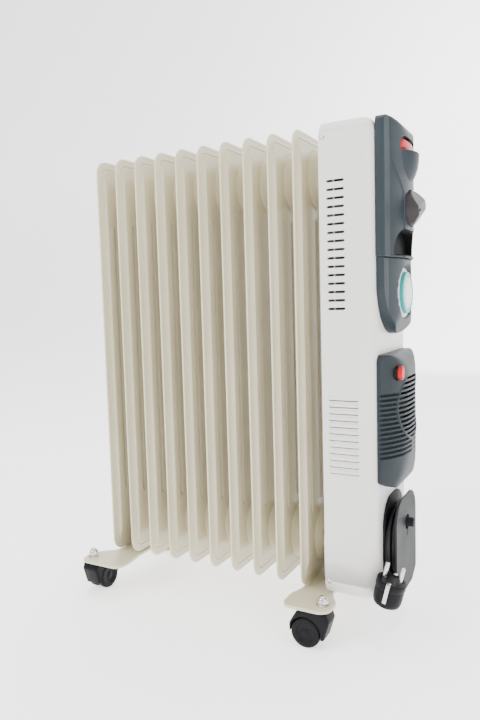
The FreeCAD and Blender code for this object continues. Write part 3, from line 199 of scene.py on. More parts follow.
def shell(points, faces, wall):
    """A sheet given a thickness inwards: its faces turned over at a distance, and rims along open edges."""
    inner = points - normals(points, faces) * wall
    edges = open_edges(faces)
    count = len(points)
    a, b = edges[:, 1], edges[:, 0]
    rim = np.vstack([np.stack([a, b, b + count], -1), np.stack([a, b + count, a + count], -1)])
    return np.vstack([points, inner]), np.vstack([faces, faces[:, ::-1] + count, rim])


def lathe(profile, centre, axis, steps=64):
    """A profile of (radius, height) points turned about an axis; ends on the axis close it."""
    profile = np.array(profile, float)
    axis = np.array(axis, float) / np.linalg.norm(axis)
    side = np.cross(axis, [0.0, 0.0, 1.0] if abs(axis[2]) < 0.9 else [1.0, 0.0, 0.0])
    side /= np.linalg.norm(side)
    other = np.cross(axis, side)
    turn = np.linspace(0, 2 * np.pi, steps, endpoint=False)
    ring = np.cos(turn)[:, None] * side + np.sin(turn)[:, None] * other
    points = np.array(centre, float) + profile[None, :, :1] * ring[:, None] + profile[None, :, 1:] * axis
    return rolled(points)


def rolled(points):
    """Triangles over points[i, j], closed round i, as one welded surface."""
    n, m = points.shape[:2]
    index = np.vstack([np.arange(n * m).reshape(n, m), np.arange(m)[None]])
    a, b, c, d = index[:-1, :-1], index[1:, :-1], index[1:, 1:], index[:-1, 1:]
    faces = np.concatenate([np.stack([a, b, c], -1).reshape(-1, 3), np.stack([a, c, d], -1).reshape(-1, 3)])
    return weld(points.reshape(-1, 3), faces)


def reflected(surface, axis):
    """A surface with one coordinate negated and its faces turned back outwards."""
    points, faces = surface
    points = points.copy()
    points[:, axis] *= -1
    return points, faces[:, ::-1]


def moved(surface, by):
    return surface[0] + np.array(by, float), surface[1]


def turned_about_x(surface, degrees, z):
    """A surface turned about a line along X at height z."""
    points, faces = surface
    c, s = math.cos(math.radians(degrees)), math.sin(math.radians(degrees))
    y, up = points[:, 1], points[:, 2] - z
    return np.stack([points[:, 0], c * y - s * up, z + s * y + c * up], -1), faces


def turned_about_z(surface, degrees):
    t = math.radians(degrees)
    matrix = np.array([[math.cos(t), -math.sin(t), 0], [math.sin(t), math.cos(t), 0], [0, 0, 1]])
    return surface[0] @ matrix.T, surface[1]


def plate(us, vs, keep, top, bottom, place, score=()):
    """A closed piece over a flat region: a front sheet, a back sheet and the walls that join them.

    keep and score are functions of (u, v): the region is where every keep is above 0, and each score's zero line
    is cut into the mesh. top and bottom give the heights, and place(u, v, height) the points.
    """
    points, faces = sheet_grid(us, vs)
    for field in score:
        points, faces = clip(points, faces, field(points[:, 0], points[:, 1]), both=True)
    for field in keep:
        points, faces = clip(points, faces, field(points[:, 0], points[:, 1]))
    u, v = points[:, 0], points[:, 1]
    upper = place(u, v, top(u, v) + np.zeros(len(u)))
    lower = place(u, v, bottom(u, v) + np.zeros(len(u)))
    edges = open_edges(faces)
    count = len(points)
    a, b = edges[:, 1], edges[:, 0]
    rim = np.vstack([np.stack([a, b, b + count], -1), np.stack([a, b + count, a + count], -1)])
    return np.vstack([upper, lower]), np.vstack([faces, faces[:, ::-1] + count, rim])


def inside(outline, inset=0.0):
    """The field above 0 where a point lies more than an inset inwards of an outline."""
    return lambda u, v: depth_in(u, v, outline) - inset


def outside(outline):
    return lambda u, v: -depth_in(u, v, outline)


def contours(outline, *insets):
    return [inside(outline, inset) for inset in insets]


def within(at_u, at_v, radius):
    """The field above 0 inside a circle."""
    return lambda u, v: radius - np.hypot(u - at_u, v - at_v)


def beyond(at_u, at_v, radius):
    """The field above 0 outside a circle."""
    return lambda u, v: np.hypot(u - at_u, v - at_v) - radius


def flat(height):
    return lambda u, v: height + 0 * u


def facing_x(u, v, h):
    """(u, v) across and up, heights along X."""
    return np.stack([h, u, v], -1)


def facing_z(u, v, h):
    """(u, v) on the plan, heights upwards."""
    return np.stack([u, v, h], -1)


def facing_y(u, v, h):
    """(u, v) along and up, heights along Y."""
    return np.stack([u, h, v], -1)


def prism(outline, low, high, place, edge=0.6):
    """An outline carried between two heights, both edges broken by a small bevel towards the middle."""
    middle = outline.mean(0)
    size = np.abs(outline - middle).max(0)
    rings = []
    for inset, height in ((edge, low), (edge * 0.3, low + edge * 0.3), (0, low + edge), (0, high - edge),
                          (edge * 0.3, high - edge * 0.3), (edge, high)):
        ring = middle + (outline - middle) * (1 - inset / np.maximum(size, 1e-6))
        rings.append(place(ring[:, 0], ring[:, 1], np.full(len(ring), height)))
    first, last = (place(middle[:1], middle[1:], np.array([h])).repeat(len(outline), 0) for h in (low,
                                                                                                  high))
    return rolled(np.stack([first] + rings + [last], 1))


def tube(path, radius, steps=16, closed=False, caps=True):
    """A round bar along a path of points; its rings turn as little as they can from one to the next."""
    path = np.array(path, float)
    ahead = np.roll(path, -1, axis=0) - np.roll(path, 1, axis=0)
    if not closed:
        ahead[0], ahead[-1] = path[1] - path[0], path[-1] - path[-2]
    ahead /= np.linalg.norm(ahead, axis=1)[:, None]
    side = np.cross(ahead[0], [0.0, 0.0, 1.0] if abs(ahead[0][2]) < 0.9 else [1.0, 0.0, 0.0])
    sides = []
    for direction in ahead:
        side = side - direction * (side @ direction)
        side = side / np.linalg.norm(side)
        sides.append(side)
    sides = np.array(sides)
    others = np.cross(ahead, sides)
    turn = np.linspace(0, 2 * np.pi, steps, endpoint=False)[:, None, None]
    rings = path[None] + radius * (np.cos(turn) * sides[None] + np.sin(turn) * others[None])
    if closed:
        rings = np.concatenate([rings, rings[:, :1]], 1)
    elif caps:
        ends = [np.repeat(path[None, k:k + 1], steps, 0) for k in (0, -1)]
        rings = np.concatenate([ends[0], rings, ends[1]], 1)
    return rolled(rings)


def piece(name, surfaces, body, material, nodes=(), crease=35.0):
    """One finished object from surfaces in mm: joined, welded, faced outwards, smooth up to a crease."""
    shift, points, faces = 0, [], []
    for p, f in surfaces:
        points.append(p)
        faces.append(f + shift)
        shift += len(p)
    points, faces = np.vstack(points) * MM, np.vstack(faces)
    mesh = bpy.data.meshes.new(name)
    mesh.vertices.add(len(points))
    mesh.vertices.foreach_set("co", points.astype(np.float32).ravel())
    mesh.loops.add(faces.size)
    mesh.loops.foreach_set("vertex_index", faces.astype(np.int32).ravel())
    mesh.polygons.add(len(faces))
    mesh.polygons.foreach_set("loop_start", np.arange(0, faces.size, 3, dtype=np.int32))
    mesh.update(calc_edges=True)
    work = bmesh.new()
    work.from_mesh(mesh)
    bmesh.ops.remove_doubles(work, verts=work.verts, dist=4e-6)
    bmesh.ops.recalc_face_normals(work, faces=work.faces)
    work.to_mesh(mesh)
    work.free()
    mesh.shade_smooth()
    mesh.set_sharp_from_angle(angle=math.radians(crease))
    obj = bpy.data.objects.new(name, mesh)
    scene.collection.objects.link(obj)
    mesh.materials.append(material)
    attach(obj, body)
    if nodes:
        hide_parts(*nodes)
    return obj


# ------------------------------------------------------------------ materials
class Value:
    """A socket of a shader graph; arithmetic on it adds the Math or Vector Math node."""

    def __init__(self, finish, socket):
        self.finish = finish
        self.socket = socket

    def _with(self, other, operation, swapped=False):
        vector = self.socket.type in ("VECTOR", "RGBA")
        if vector and isinstance(other, (int, float)):
            other = (other, other, other)
        pair = (other, self) if swapped else (self, other)
        if vector:
            return self.finish.node("VectorMath", {"operation": operation}, {0: pair[0], 1: pair[1]})
        return self.finish.node("Math", {"operation": operation}, {0: pair[0], 1: pair[1]})

    def __add__(self, other):
        return self._with(other, "ADD")

    def __radd__(self, other):
        return self._with(other, "ADD", True)

    def __sub__(self, other):
        return self._with(other, "SUBTRACT")

    def __rsub__(self, other):
        return self._with(other, "SUBTRACT", True)

    def __mul__(self, other):
        return self._with(other, "MULTIPLY")

    def __rmul__(self, other):
        return self._with(other, "MULTIPLY", True)


class Finish:
    """A material whose graph is written as expressions."""

    def __init__(self, name):
        self.material = bpy.data.materials.new(name)
        self.material.use_nodes = True
        self.graph = self.material.node_tree
        self.graph.nodes.clear()

    def node(self, kind, settings=None, values=None, output=0):
        """Adds a node of a type, sets its settings first and then the values or links of its sockets."""
        made = self.graph.nodes.new("ShaderNode" + kind)
        for key, setting in (settings or {}).items():
            setattr(made, key, setting)
        for key, value in (values or {}).items():
            socket = made.inputs[key]
            if isinstance(value, Value):
                self.graph.links.new(value.socket, socket)
            elif hasattr(value, "__len__") and len(value) == 3 and socket.type == "RGBA":
                socket.default_value = (*value, 1)
            else:
                socket.default_value = value
        return Value(self, made.outputs[output]) if len(made.outputs) else None

    def place(self, scale=(1, 1, 1)):
        """Object coordinates, stretched along the axes."""
        here = self.node("TexCoord", output=3)
        return self.node("Mapping", None, {"Vector": here, "Scale": scale})

    def noise(self, scale, detail=2.0, rough=0.5, stretch=(1, 1, 1)):
        """A number near 0.5 that varies smoothly in space."""
        return self.node("TexNoise", None, {"Vector": self.place(stretch), "Scale": scale, "Detail": detail,
                                            "Roughness": rough})

    def mix(self, amount, one, two):
        """A colour between two, by an amount from 0 to 1."""
        return self.node("Mix", {"data_type": "RGBA"}, {0: amount, 6: one, 7: two}, output=2)

    def between(self, value, low, high, to_low, to_high):
        """A number moved from one range to another, and held inside it."""
        return self.node("MapRange", None, {"Value": value, "From Min": low, "From Max": high,
                                            "To Min": to_low, "To Max": to_high})

    def bump(self, height, strength, distance):
        return self.node("Bump", None, {"Height": height, "Strength": strength, "Distance": distance})

    def surface(self, **sockets):
        """The closing shader, from Principled socket names written with underscores."""
        values = {key.replace("_", " "): value for key, value in sockets.items()}
        shader = self.node("BsdfPrincipled", None, values)
        self.node("OutputMaterial", None, {"Surface": shader})
        return self.material


def enamel(name, colour, shade, rough, peel, grain_scale=900.0, sheen=0.25):
    """Baked enamel on steel: slow tone drift, fine orange peel and a thin clear gloss."""
    f = Finish(name)
    drift = f.noise(9.0, 2.0)
    fine = f.noise(grain_scale, 2.0, 0.6)
    tone = f.mix(f.between(drift, 0.35, 0.65, 0.0, 1.0), colour, shade)
    speck = f.between(fine, 0.25, 0.75, -0.02, 0.02)
    base = f.mix(f.between(fine, 0.3, 0.7, 0.0, 0.25), tone, tone * 0.93)
    return f.surface(Base_Color=base, Roughness=rough + speck * 2.0, Coat_Weight=sheen, Coat_Roughness=0.25,
                     Normal=f.bump(fine, peel, 0.0004), Specular_IOR_Level=0.45)


def moulded(name, colour, shade, rough, grain=0.35, gloss=0.2, grain_scale=1400.0):
    """Moulded plastic with a fine spark-eroded grain and faint flow marks."""
    f = Finish(name)
    drift = f.noise(14.0, 3.0, 0.55)
    fine = f.noise(grain_scale, 2.0, 0.65)
    tone = f.mix(f.between(drift, 0.3, 0.7, 0.0, 1.0), colour, shade)
    base = f.mix(f.between(fine, 0.3, 0.7, 0.0, 0.3), tone, tone * 0.82)
    return f.surface(Base_Color=base, Roughness=rough + f.between(drift, 0.3, 0.7, -0.04, 0.06),
                     Normal=f.bump(fine, grain, 0.0003), Specular_IOR_Level=gloss)


def plated(name, colour, rough):
    """Plated metal with faint turning marks and dulled patches."""
    f = Finish(name)
    marks = f.noise(420.0, 3.0, 0.6, (1, 1, 6))
    patch = f.noise(70.0, 2.0)
    base = f.mix(f.between(patch, 0.3, 0.7, 0.0, 0.5), colour, tuple(c * 0.78 for c in colour))
    return f.surface(Base_Color=base, Metallic=1.0, Roughness=rough + f.between(marks, 0.3, 0.7, -0.05,
                                                                                0.1),
                     Normal=f.bump(marks, 0.12, 0.0002))


cream = enamel("cream_enamel", (0.61, 0.56, 0.405), (0.575, 0.525, 0.375), 0.36, 0.10)
casing_white = enamel("casing_enamel", (0.70, 0.69, 0.655), (0.67, 0.66, 0.63), 0.42, 0.22, 1100.0)
cover_grey = moulded("cover_grey", (0.022, 0.031, 0.037), (0.018, 0.026, 0.031), 0.44)
fan_grey = moulded("fan_cover_grey", (0.016, 0.022, 0.026), (0.013, 0.018, 0.022), 0.46)
winder_grey = moulded("winder_grey", (0.020, 0.021, 0.023), (0.016, 0.017, 0.019), 0.48, 0.3, 0.1)
tray_grey = moulded("winder_base_grey", (0.012, 0.012, 0.014), (0.010, 0.010, 0.012), 0.5, 0.3, 0.1)
knob_brown = moulded("knob_brown", (0.042, 0.036, 0.038), (0.034, 0.029, 0.031), 0.42)
black_plastic = moulded("black_plastic", (0.005, 0.005, 0.006), (0.008, 0.0075, 0.009), 0.42, 0.2, 0.1)
# Near-black painted shade: this colour stands in for the shade inside the hand recess and inside the casing
# behind its openings.
painted_shade_black = moulded("painted_shade_black", (0.004, 0.0045, 0.005), (0.006, 0.0065, 0.007), 0.6, 0.2, 0.05)
steel = plated("plated_steel", (0.60, 0.58, 0.56), 0.22)
inner_parts = plated("inner_metal", (0.55, 0.54, 0.52), 0.4)


def glossy_red():
    """Red plastic for the clear lens and button, its tone drifting softly between two reds."""
    f = Finish("red_lens")
    drift = f.noise(60.0, 2.0)
    base = f.mix(f.between(drift, 0.35, 0.65, 0.0, 1.0), (0.50, 0.006, 0.010), (0.40, 0.004, 0.007))
    return f.surface(Base_Color=base, Roughness=0.3 + f.between(drift, 0.3, 0.7, 0.0, 0.05),
                     Specular_IOR_Level=0.12)


red = glossy_red()
lavender = moulded("dial_lavender", (0.60, 0.60, 0.70), (0.56, 0.56, 0.66), 0.35, 0.15)
teal = moulded("dial_teal", (0.03, 0.36, 0.31), (0.025, 0.32, 0.28), 0.32, 0.15)
dial_white = moulded("dial_white", (0.72, 0.70, 0.74), (0.68, 0.66, 0.70), 0.35, 0.12)
print_ink = moulded("print_ink", (0.20, 0.18, 0.22), (0.25, 0.22, 0.27), 0.5, 0.1)


def sheath():
    """Smooth cord sheath with handling dust."""
    f = Finish("cord_sheath")
    dust = f.noise(220.0, 3.0, 0.6)
    base = f.mix(f.between(dust, 0.4, 0.75, 0.0, 0.5), (0.005, 0.005, 0.006), (0.014, 0.014, 0.016))
    return f.surface(Base_Color=base, Roughness=0.36 + f.between(dust, 0.3, 0.7, -0.05, 0.12),
                     Normal=f.bump(dust, 0.08, 0.0003), Specular_IOR_Level=0.3)


cord_black = sheath()


# ------------------------------------------------------------------ sizes of the object (mm)
FIRST_X, PITCH, COUNT = -206.0, 34.0, 11
END_X, MOUTH_X = 198.5, 133.5
KNOB_Z, TIMER_Z, GRILLE_Z, WINDER_Z, SEAM_Z = 534.0, 431.5, 292.0, 111.0, 473.5
HUBS = (110.0, 580.0)
BOLT_XS = (-189.0, 117.0)
FASCIA_HALF, FASCIA_TOP, TIMER_HALF, TIMER_LOW, FAN_TOP = 65.5, 635.0, 64.5, 381.0, 358.0
RIDGE_Y, RIDGE, CROWN = 53.0, 13.5, 26.0
STUDS = {"fr": (138.0, -98.5, 0), "rr": (138.0, 98.5, 0), "fl": (-226.0, -98.5, -90),
         "rl": (-226.0, 98.5, 90)}


def mirror_values(values):
    """A row of distances from the middle, as places on both sides of it."""
    values = np.array(values, float)
    return np.unique(np.concatenate([-values, values]))


# ------------------------------------------------------------------ cord
def cord_route():
    """The cord's centreline: down from the gland, wound outwards in two staggered layers, out to the plug."""
    points = [(205.1, 28.0, 101.0), (205.1, 27.8, 97.0), (205.1, 27.3, 92.5)]
    start, finish = math.radians(40), math.radians(90 + 360 * 5)
    for t in np.arange(start, finish - 0.05, math.radians(20)):
        share = (t - start) / (finish - start)
        a, b = 27.8 + (50.3 - 27.8) * share, 35.6 + (51.4 - 35.6) * share
        square = 1 / (abs(math.cos(t)) ** 2.35 + abs(math.sin(t)) ** 2.35) ** (1 / 2.35)
        layer = 207.75 + 2.75 * max(-1, min(1, 1.8 * math.cos(t / 2 + math.radians(135))))
        points.append((layer, a * math.cos(t) * square, WINDER_Z + 1.5 * share - b * math.sin(t) * square))
    return points + [(207.7, 0.0, 61.0), (207.7, -14.0, 61.0), (208.4, -32.0, 61.0), (210.3, -46.0, 65.1),
                     (210.3, -57.7, 65.1)]


def make_cord(name, route, radius, material):
    """A round cord as one curve with its centreline through the route."""
    data = bpy.data.curves.new(name, "CURVE")
    data.dimensions = "3D"
    data.bevel_depth = radius * MM
    data.bevel_resolution = 5
    data.resolution_u = 6
    data.use_fill_caps = True
    spline = data.splines.new("NURBS")
    spline.points.add(len(route) - 1)
    for point, place in zip(spline.points, route):
        point.co = (*(c * MM for c in place), 1)
    spline.order_u = 3
    spline.use_endpoint_u = True
    cord = bpy.data.objects.new(name, data)
    scene.collection.objects.link(cord)
    data.materials.append(material)
    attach(cord, "heater")
    return cord


ROUTE = cord_route()
cord = make_cord("cord", ROUTE, 3.5, cord_black)
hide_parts("cord_winding", "cord_tail")

# ------------------------------------------------------------------ oil sections
EDGE_COLUMNS = [75, 74.8, 74.4, 73.8, 72, 70, 67.5, 66.6, 66, 65.2, 64.4, 63.6, 62.8, 61.5, 59, 56, 53,
                50.5, 48.9, 48.3,
                47.4, 46, 44.6, 43.7, 43.1, 41, 37, 33, 29, 25, 21, 18, 17.4, 16.8, 15.9, 14.5, 13.1, 12.2,
                11.6, 10, 7, 4, 1.5, 0]
SECTION_OUTLINE = rounded_outline([(-75, 55, 21), (75, 55, 21), (75, 635, 21), (-75, 635, 21)], 12)
PANEL_OUTLINE = rounded_outline([(-64, 66, 14), (64, 66, 14), (64, 624, 14), (-64, 624, 14)], 10)
GROOVES = ((46.0, 149.0, 541.0), (14.5, 162.0, 528.0))


def section_height(u, v):
    """Half thickness of a section: seam, bead, sloping shoulders, flat channels, grooves and hub seats."""
    outer = depth_in(u, v, SECTION_OUTLINE)
    panel = depth_in(u, v, PANEL_OUTLINE)
    seam = 1.2 - rounding(outer, 1.0) * 0.9
    bead = 0.9 * np.exp(-((outer - 9.2) / 0.9) ** 2)
    shoulder = np.minimum(ramp(panel, -1.0, 2.8), 0.25 + 0.75 * ramp(np.minimum(624 - v, v - 66), 0, 26))
    body = 4.3 * ramp(panel, -1.0, 1.2) * shoulder
    swell = np.zeros(len(u))
    for low, high in ((48.5, 64.0), (17.0, 43.5), (-12.0, 12.0)):
        place = np.clip((np.abs(u) - low) / (high - low), 0,
                        1) if low > 0 else np.clip((np.abs(u) + 12) / 24, 0, 1)
        swell = np.maximum(swell, 0.55 * np.sin(np.pi * place))
    height = seam + bead + body + swell * ramp(panel, 0, 8) * ramp(np.minimum(560 - v, v - 130), 0, 30)
    for at, low, high in GROOVES:
        cut = ramp(pill(np.abs(u) - at, v, 2.7, low, high), -0.6, 1.5)
        lip = 0.6 * np.exp(-((pill(np.abs(u) - at, v, 2.7, low, high) + 1.3) / 0.8) ** 2)
        height = height + lip - (height - 1.3) * cut
    for hub in HUBS:
        height = np.where(np.hypot(u, v - hub) < 40.2, 5.45, height)
    return height


def section_surface():
    """One section about X = 0, both faces from the same heights."""
    fine = np.array([0, 0.25, 0.7, 1.3, 3, 5.5, 8, 8.8, 9.4, 10, 10.8, 11.6, 12.6])
    low_end = 55 + np.concatenate([fine, np.arange(14.2, 116, 1.9)])
    rows = np.concatenate([low_end, np.linspace(174, 516, 24), 690 - low_end[::-1]])
    scores = [inside(SECTION_OUTLINE, 0.5)]
    scores += [within(0, hub, r) for hub in HUBS for r in (40.2, 40.5)]
    return plate(mirror_values(EDGE_COLUMNS), rows, [inside(SECTION_OUTLINE)], section_height,
                 lambda u, v: -section_height(u, v), facing_x, scores)


one_section = section_surface()
for number in range(COUNT):
    name = "section_%02d" % (number + 1)
    piece(name + "_skin", [moved(one_section, (FIRST_X + number * PITCH, 0, 0))], "heater", cream, [name])

NECK = [(40, 5.5), (39.4, 6.4), (37.6, 7.9), (33.5, 11.2), (31.2, 13.0), (30.1, 14.6), (30, 17)]
FULL_NECK = NECK + [(30, 17.2)] + [(r, 34 - x) for r, x in NECK[::-1]] + [(34, 28.5), (20, 20.5),
                                                                          (20, 13.5), (34, 5.5)]
END_NECK = NECK + [(20, 17), (20, 13.5), (34, 5.5)]
necks = []
for z in HUBS:
    for number in range(COUNT - 1):
        necks.append(lathe(FULL_NECK, (FIRST_X + number * PITCH, 0, z), (1, 0, 0), 64))
    necks.append(lathe(END_NECK, (FIRST_X, 0, z), (-1, 0, 0), 64))
    necks.append(lathe(END_NECK, (FIRST_X + (COUNT - 1) * PITCH, 0, z), (1, 0, 0), 64))
piece("hub_neck_rings", necks, "heater", cream, ["hub_necks"])

DISC = [(0, 3), (24.8, 3), (26, 2.2), (26, 0), (0, 0)]
discs = [lathe(DISC, (FIRST_X - 17, 0, z), (-1, 0, 0), 56) for z in HUBS]
discs.append(lathe(DISC[::-1], (FIRST_X + 357, 0, HUBS[1]), (1, 0, 0), 56))
piece("hub_plug_discs", discs, "heater", cream, ["hub_plugs"])


# ------------------------------------------------------------------ foot plates
def foot_plate(name, bolt_x, way, outer, inner, node, beads):
    """A pressed plate with a turned down lip, a waist between its two pads and raised beads."""
    corners = [(outer, -117, 15), (outer, -86, 13), (21, -63, 13), (21, 63, 13), (outer, 86, 13),
               (outer, 117, 15),
               (-inner, 117, 13), (-inner, 86, 6.5), (-21, 65, 6.5), (-21, -65, 6.5), (-inner, -86, 6.5),
               (-inner, -117, 13)]
    outline = rounded_outline([(bolt_x + way * x, y, r) for x, y, r in corners], 7)
    reach = (outline[:, 0].min(), outline[:, 0].max())

    def top(u, v):
        rise = np.zeros(len(u))
        for x in beads:
            rise += 1.1 * ramp(pill(u - x, v, 2.6, -48, 48), 0.0, 1.8)
        return 53.6 - rounding(depth_in(u, v, outline), 1.6) + rise

    def bottom(u, v):
        return np.where(depth_in(u, v, outline) < 1.5, 49.8, 52.1)

    scores = contours(outline, 0.35, 0.9, 1.45, 1.6) + [lambda u, v,
                                                        x=x: pill(u - x, v, 2.6, -48, 48) for x in beads]
    surface = plate(spaced(*reach, 2.0), spaced(-117, 117, 2.6), [inside(outline)], top, bottom, facing_z,
                    scores)
    piece(name, [surface], "heater", cream, [node])


foot_plate("foot_left_skin", BOLT_XS[0], -1, 49.0, 25.0, "foot_plate_left", (-206.0, -172.0))
foot_plate("foot_right_skin", BOLT_XS[1], 1, 34.0, 28.0, "foot_plate_right", (100.0,))

bolts, wings = [], []
for x in BOLT_XS:
    t = np.radians(np.linspace(0, 180, 33))
    arch = np.stack([np.full(33, x), -32.8 * np.cos(t), 110 + 32.8 * np.sin(t)], -1)
    path = np.vstack([[[x, -32.8, 44.1], [x, -32.8, 48], [x, -32.8, 60], [x, -32.8, 90]], arch,
                      [[x, 32.8, 90], [x, 32.8, 60], [x, 32.8, 48], [x, 32.8, 44.1]]])
    bolts.append(tube(path, 2.5))
    for y in (-32.8, 32.8):
        wings.append(lathe([(0, 52.0), (6.5, 52.0), (6.5, 51.2), (5, 50.6), (4.4, 47.1), (0, 47.1)],
                           (x, y, 0), (0, 0, 1), 32))
        ear = rounded_outline([(x - 11, 45.2, 3), (x + 11, 45.2, 3), (x + 11, 51.4, 2.6),
                               (x - 11, 51.4, 2.6)], 6)
        wings.append(prism(ear, y - 0.9, y + 0.9, facing_y, 0.5))
piece("foot_bolt_bars", bolts, "heater", steel, ["foot_u_bolts"])
piece("foot_wing_nut_forms", wings, "heater", steel, ["foot_wing_nuts"])


# ------------------------------------------------------------------ casters
def caster_hood_form():
    """A rounded mudguard over both wheels with a thin web between them."""
    side = rounded_outline([(-40.5, 17, 2), (-41, 28, 12), (-28, 49.4, 14), (7.5, 49.4, 5), (12, 37, 6),
                            (4.5, 13, 3),
                            (-14, 11.5, 4), (-25, 11.5, 6), (-30, 18, 3)], 9)

    def guard(u, v):
        return np.minimum(depth_in(u, v, side), np.hypot(u + 19, v - 19) - 20.6)

    def half(u, v):
        return 13.7 - rounding(depth_in(u, v, side), 4.2) * 0.9

    us, vs = spaced(-41.5, 12.5, 1.1), spaced(11, 50, 1.1)
    shoulders = contours(side, 0.3, 0.9, 2.0, 4.2)
    cover = plate(us, vs, [guard], half, lambda u, v: -half(u, v), facing_y, shoulders)
    web = plate(us, vs, [inside(side, 0.4)], flat(3.2), flat(-3.2), facing_y)
    return [cover, web]


def caster_wheel_form():
    """Two wheels with rounded tyres, dished sides and hub caps on one axle."""
    half = [(0, 12.6), (4.6, 12.6), (5.5, 12.0), (5.6, 11.9), (11.0, 11.9), (11.6, 12.2), (12.2, 13.0),
            (13.4, 13.2), (16.4, 13.2),
            (17.6, 12.9), (18.6, 11.9), (19, 10.6), (19, 6.4), (18.6, 5.0), (17.6, 4.1), (16.4, 3.8),
            (0, 3.8)]
    disc = lathe(half, (-19, 0, 19), (0, 1, 0), 72)
    return [disc, reflected(disc, 1), tube([(-19, -12, 19), (-19, 0, 19), (-19, 12, 19)], 2.5)]


hood_form, wheel_form = caster_hood_form(), caster_wheel_form()
studs, nuts = [], []
for code, (x, y, turn) in STUDS.items():
    for kind, forms in (("hood", hood_form), ("wheels", wheel_form)):
        placed = [moved(turned_about_z(form, turn), (x, y, 0)) for form in forms]
        body = ("caster_" if kind == "hood" else "wheels_") + code
        piece("caster_%s_form_%s" % (kind, code), placed, body, black_plastic,
              ["caster_%s_%s" % (kind, code)])
    studs.append(lathe([(0, 37.4), (4, 37.4), (4, 49.45), (7, 49.45), (7, 52.1), (4, 52.1), (4, 58.6),
                        (0, 58.6)], (x, y, 0), (0, 0, 1), 32))
    nuts.append(lathe([(0, 53.6), (7.4, 53.6), (8, 53.8), (8, 54.5), (7.6, 54.8), (0, 54.8)], (x, y, 0),
                      (0, 0, 1), 40))
    sixths = [math.radians(60 * i) for i in range(6)]
    hexagon = rounded_outline([(x + 7.5 * math.cos(a), y + 7.5 * math.sin(a), 0.5) for a in sixths], 3)
    nuts.append(prism(hexagon, 54.7, 60.2, facing_z, 0.5))
    dome = [(6.2 * math.cos(math.radians(a)), 59.6 + 6.2 * math.sin(math.radians(a))) for a in range(0, 90,
                                                                                                     9)]
    nuts.append(lathe([(0, 59.0)] + dome + [(0, 65.8)], (x, y, 0), (0, 0, 1), 40))
piece("caster_stud_bars", studs, "heater", steel, ["caster_studs"])
piece("dome_nut_forms", nuts, "heater", steel, ["caster_dome_nuts"])


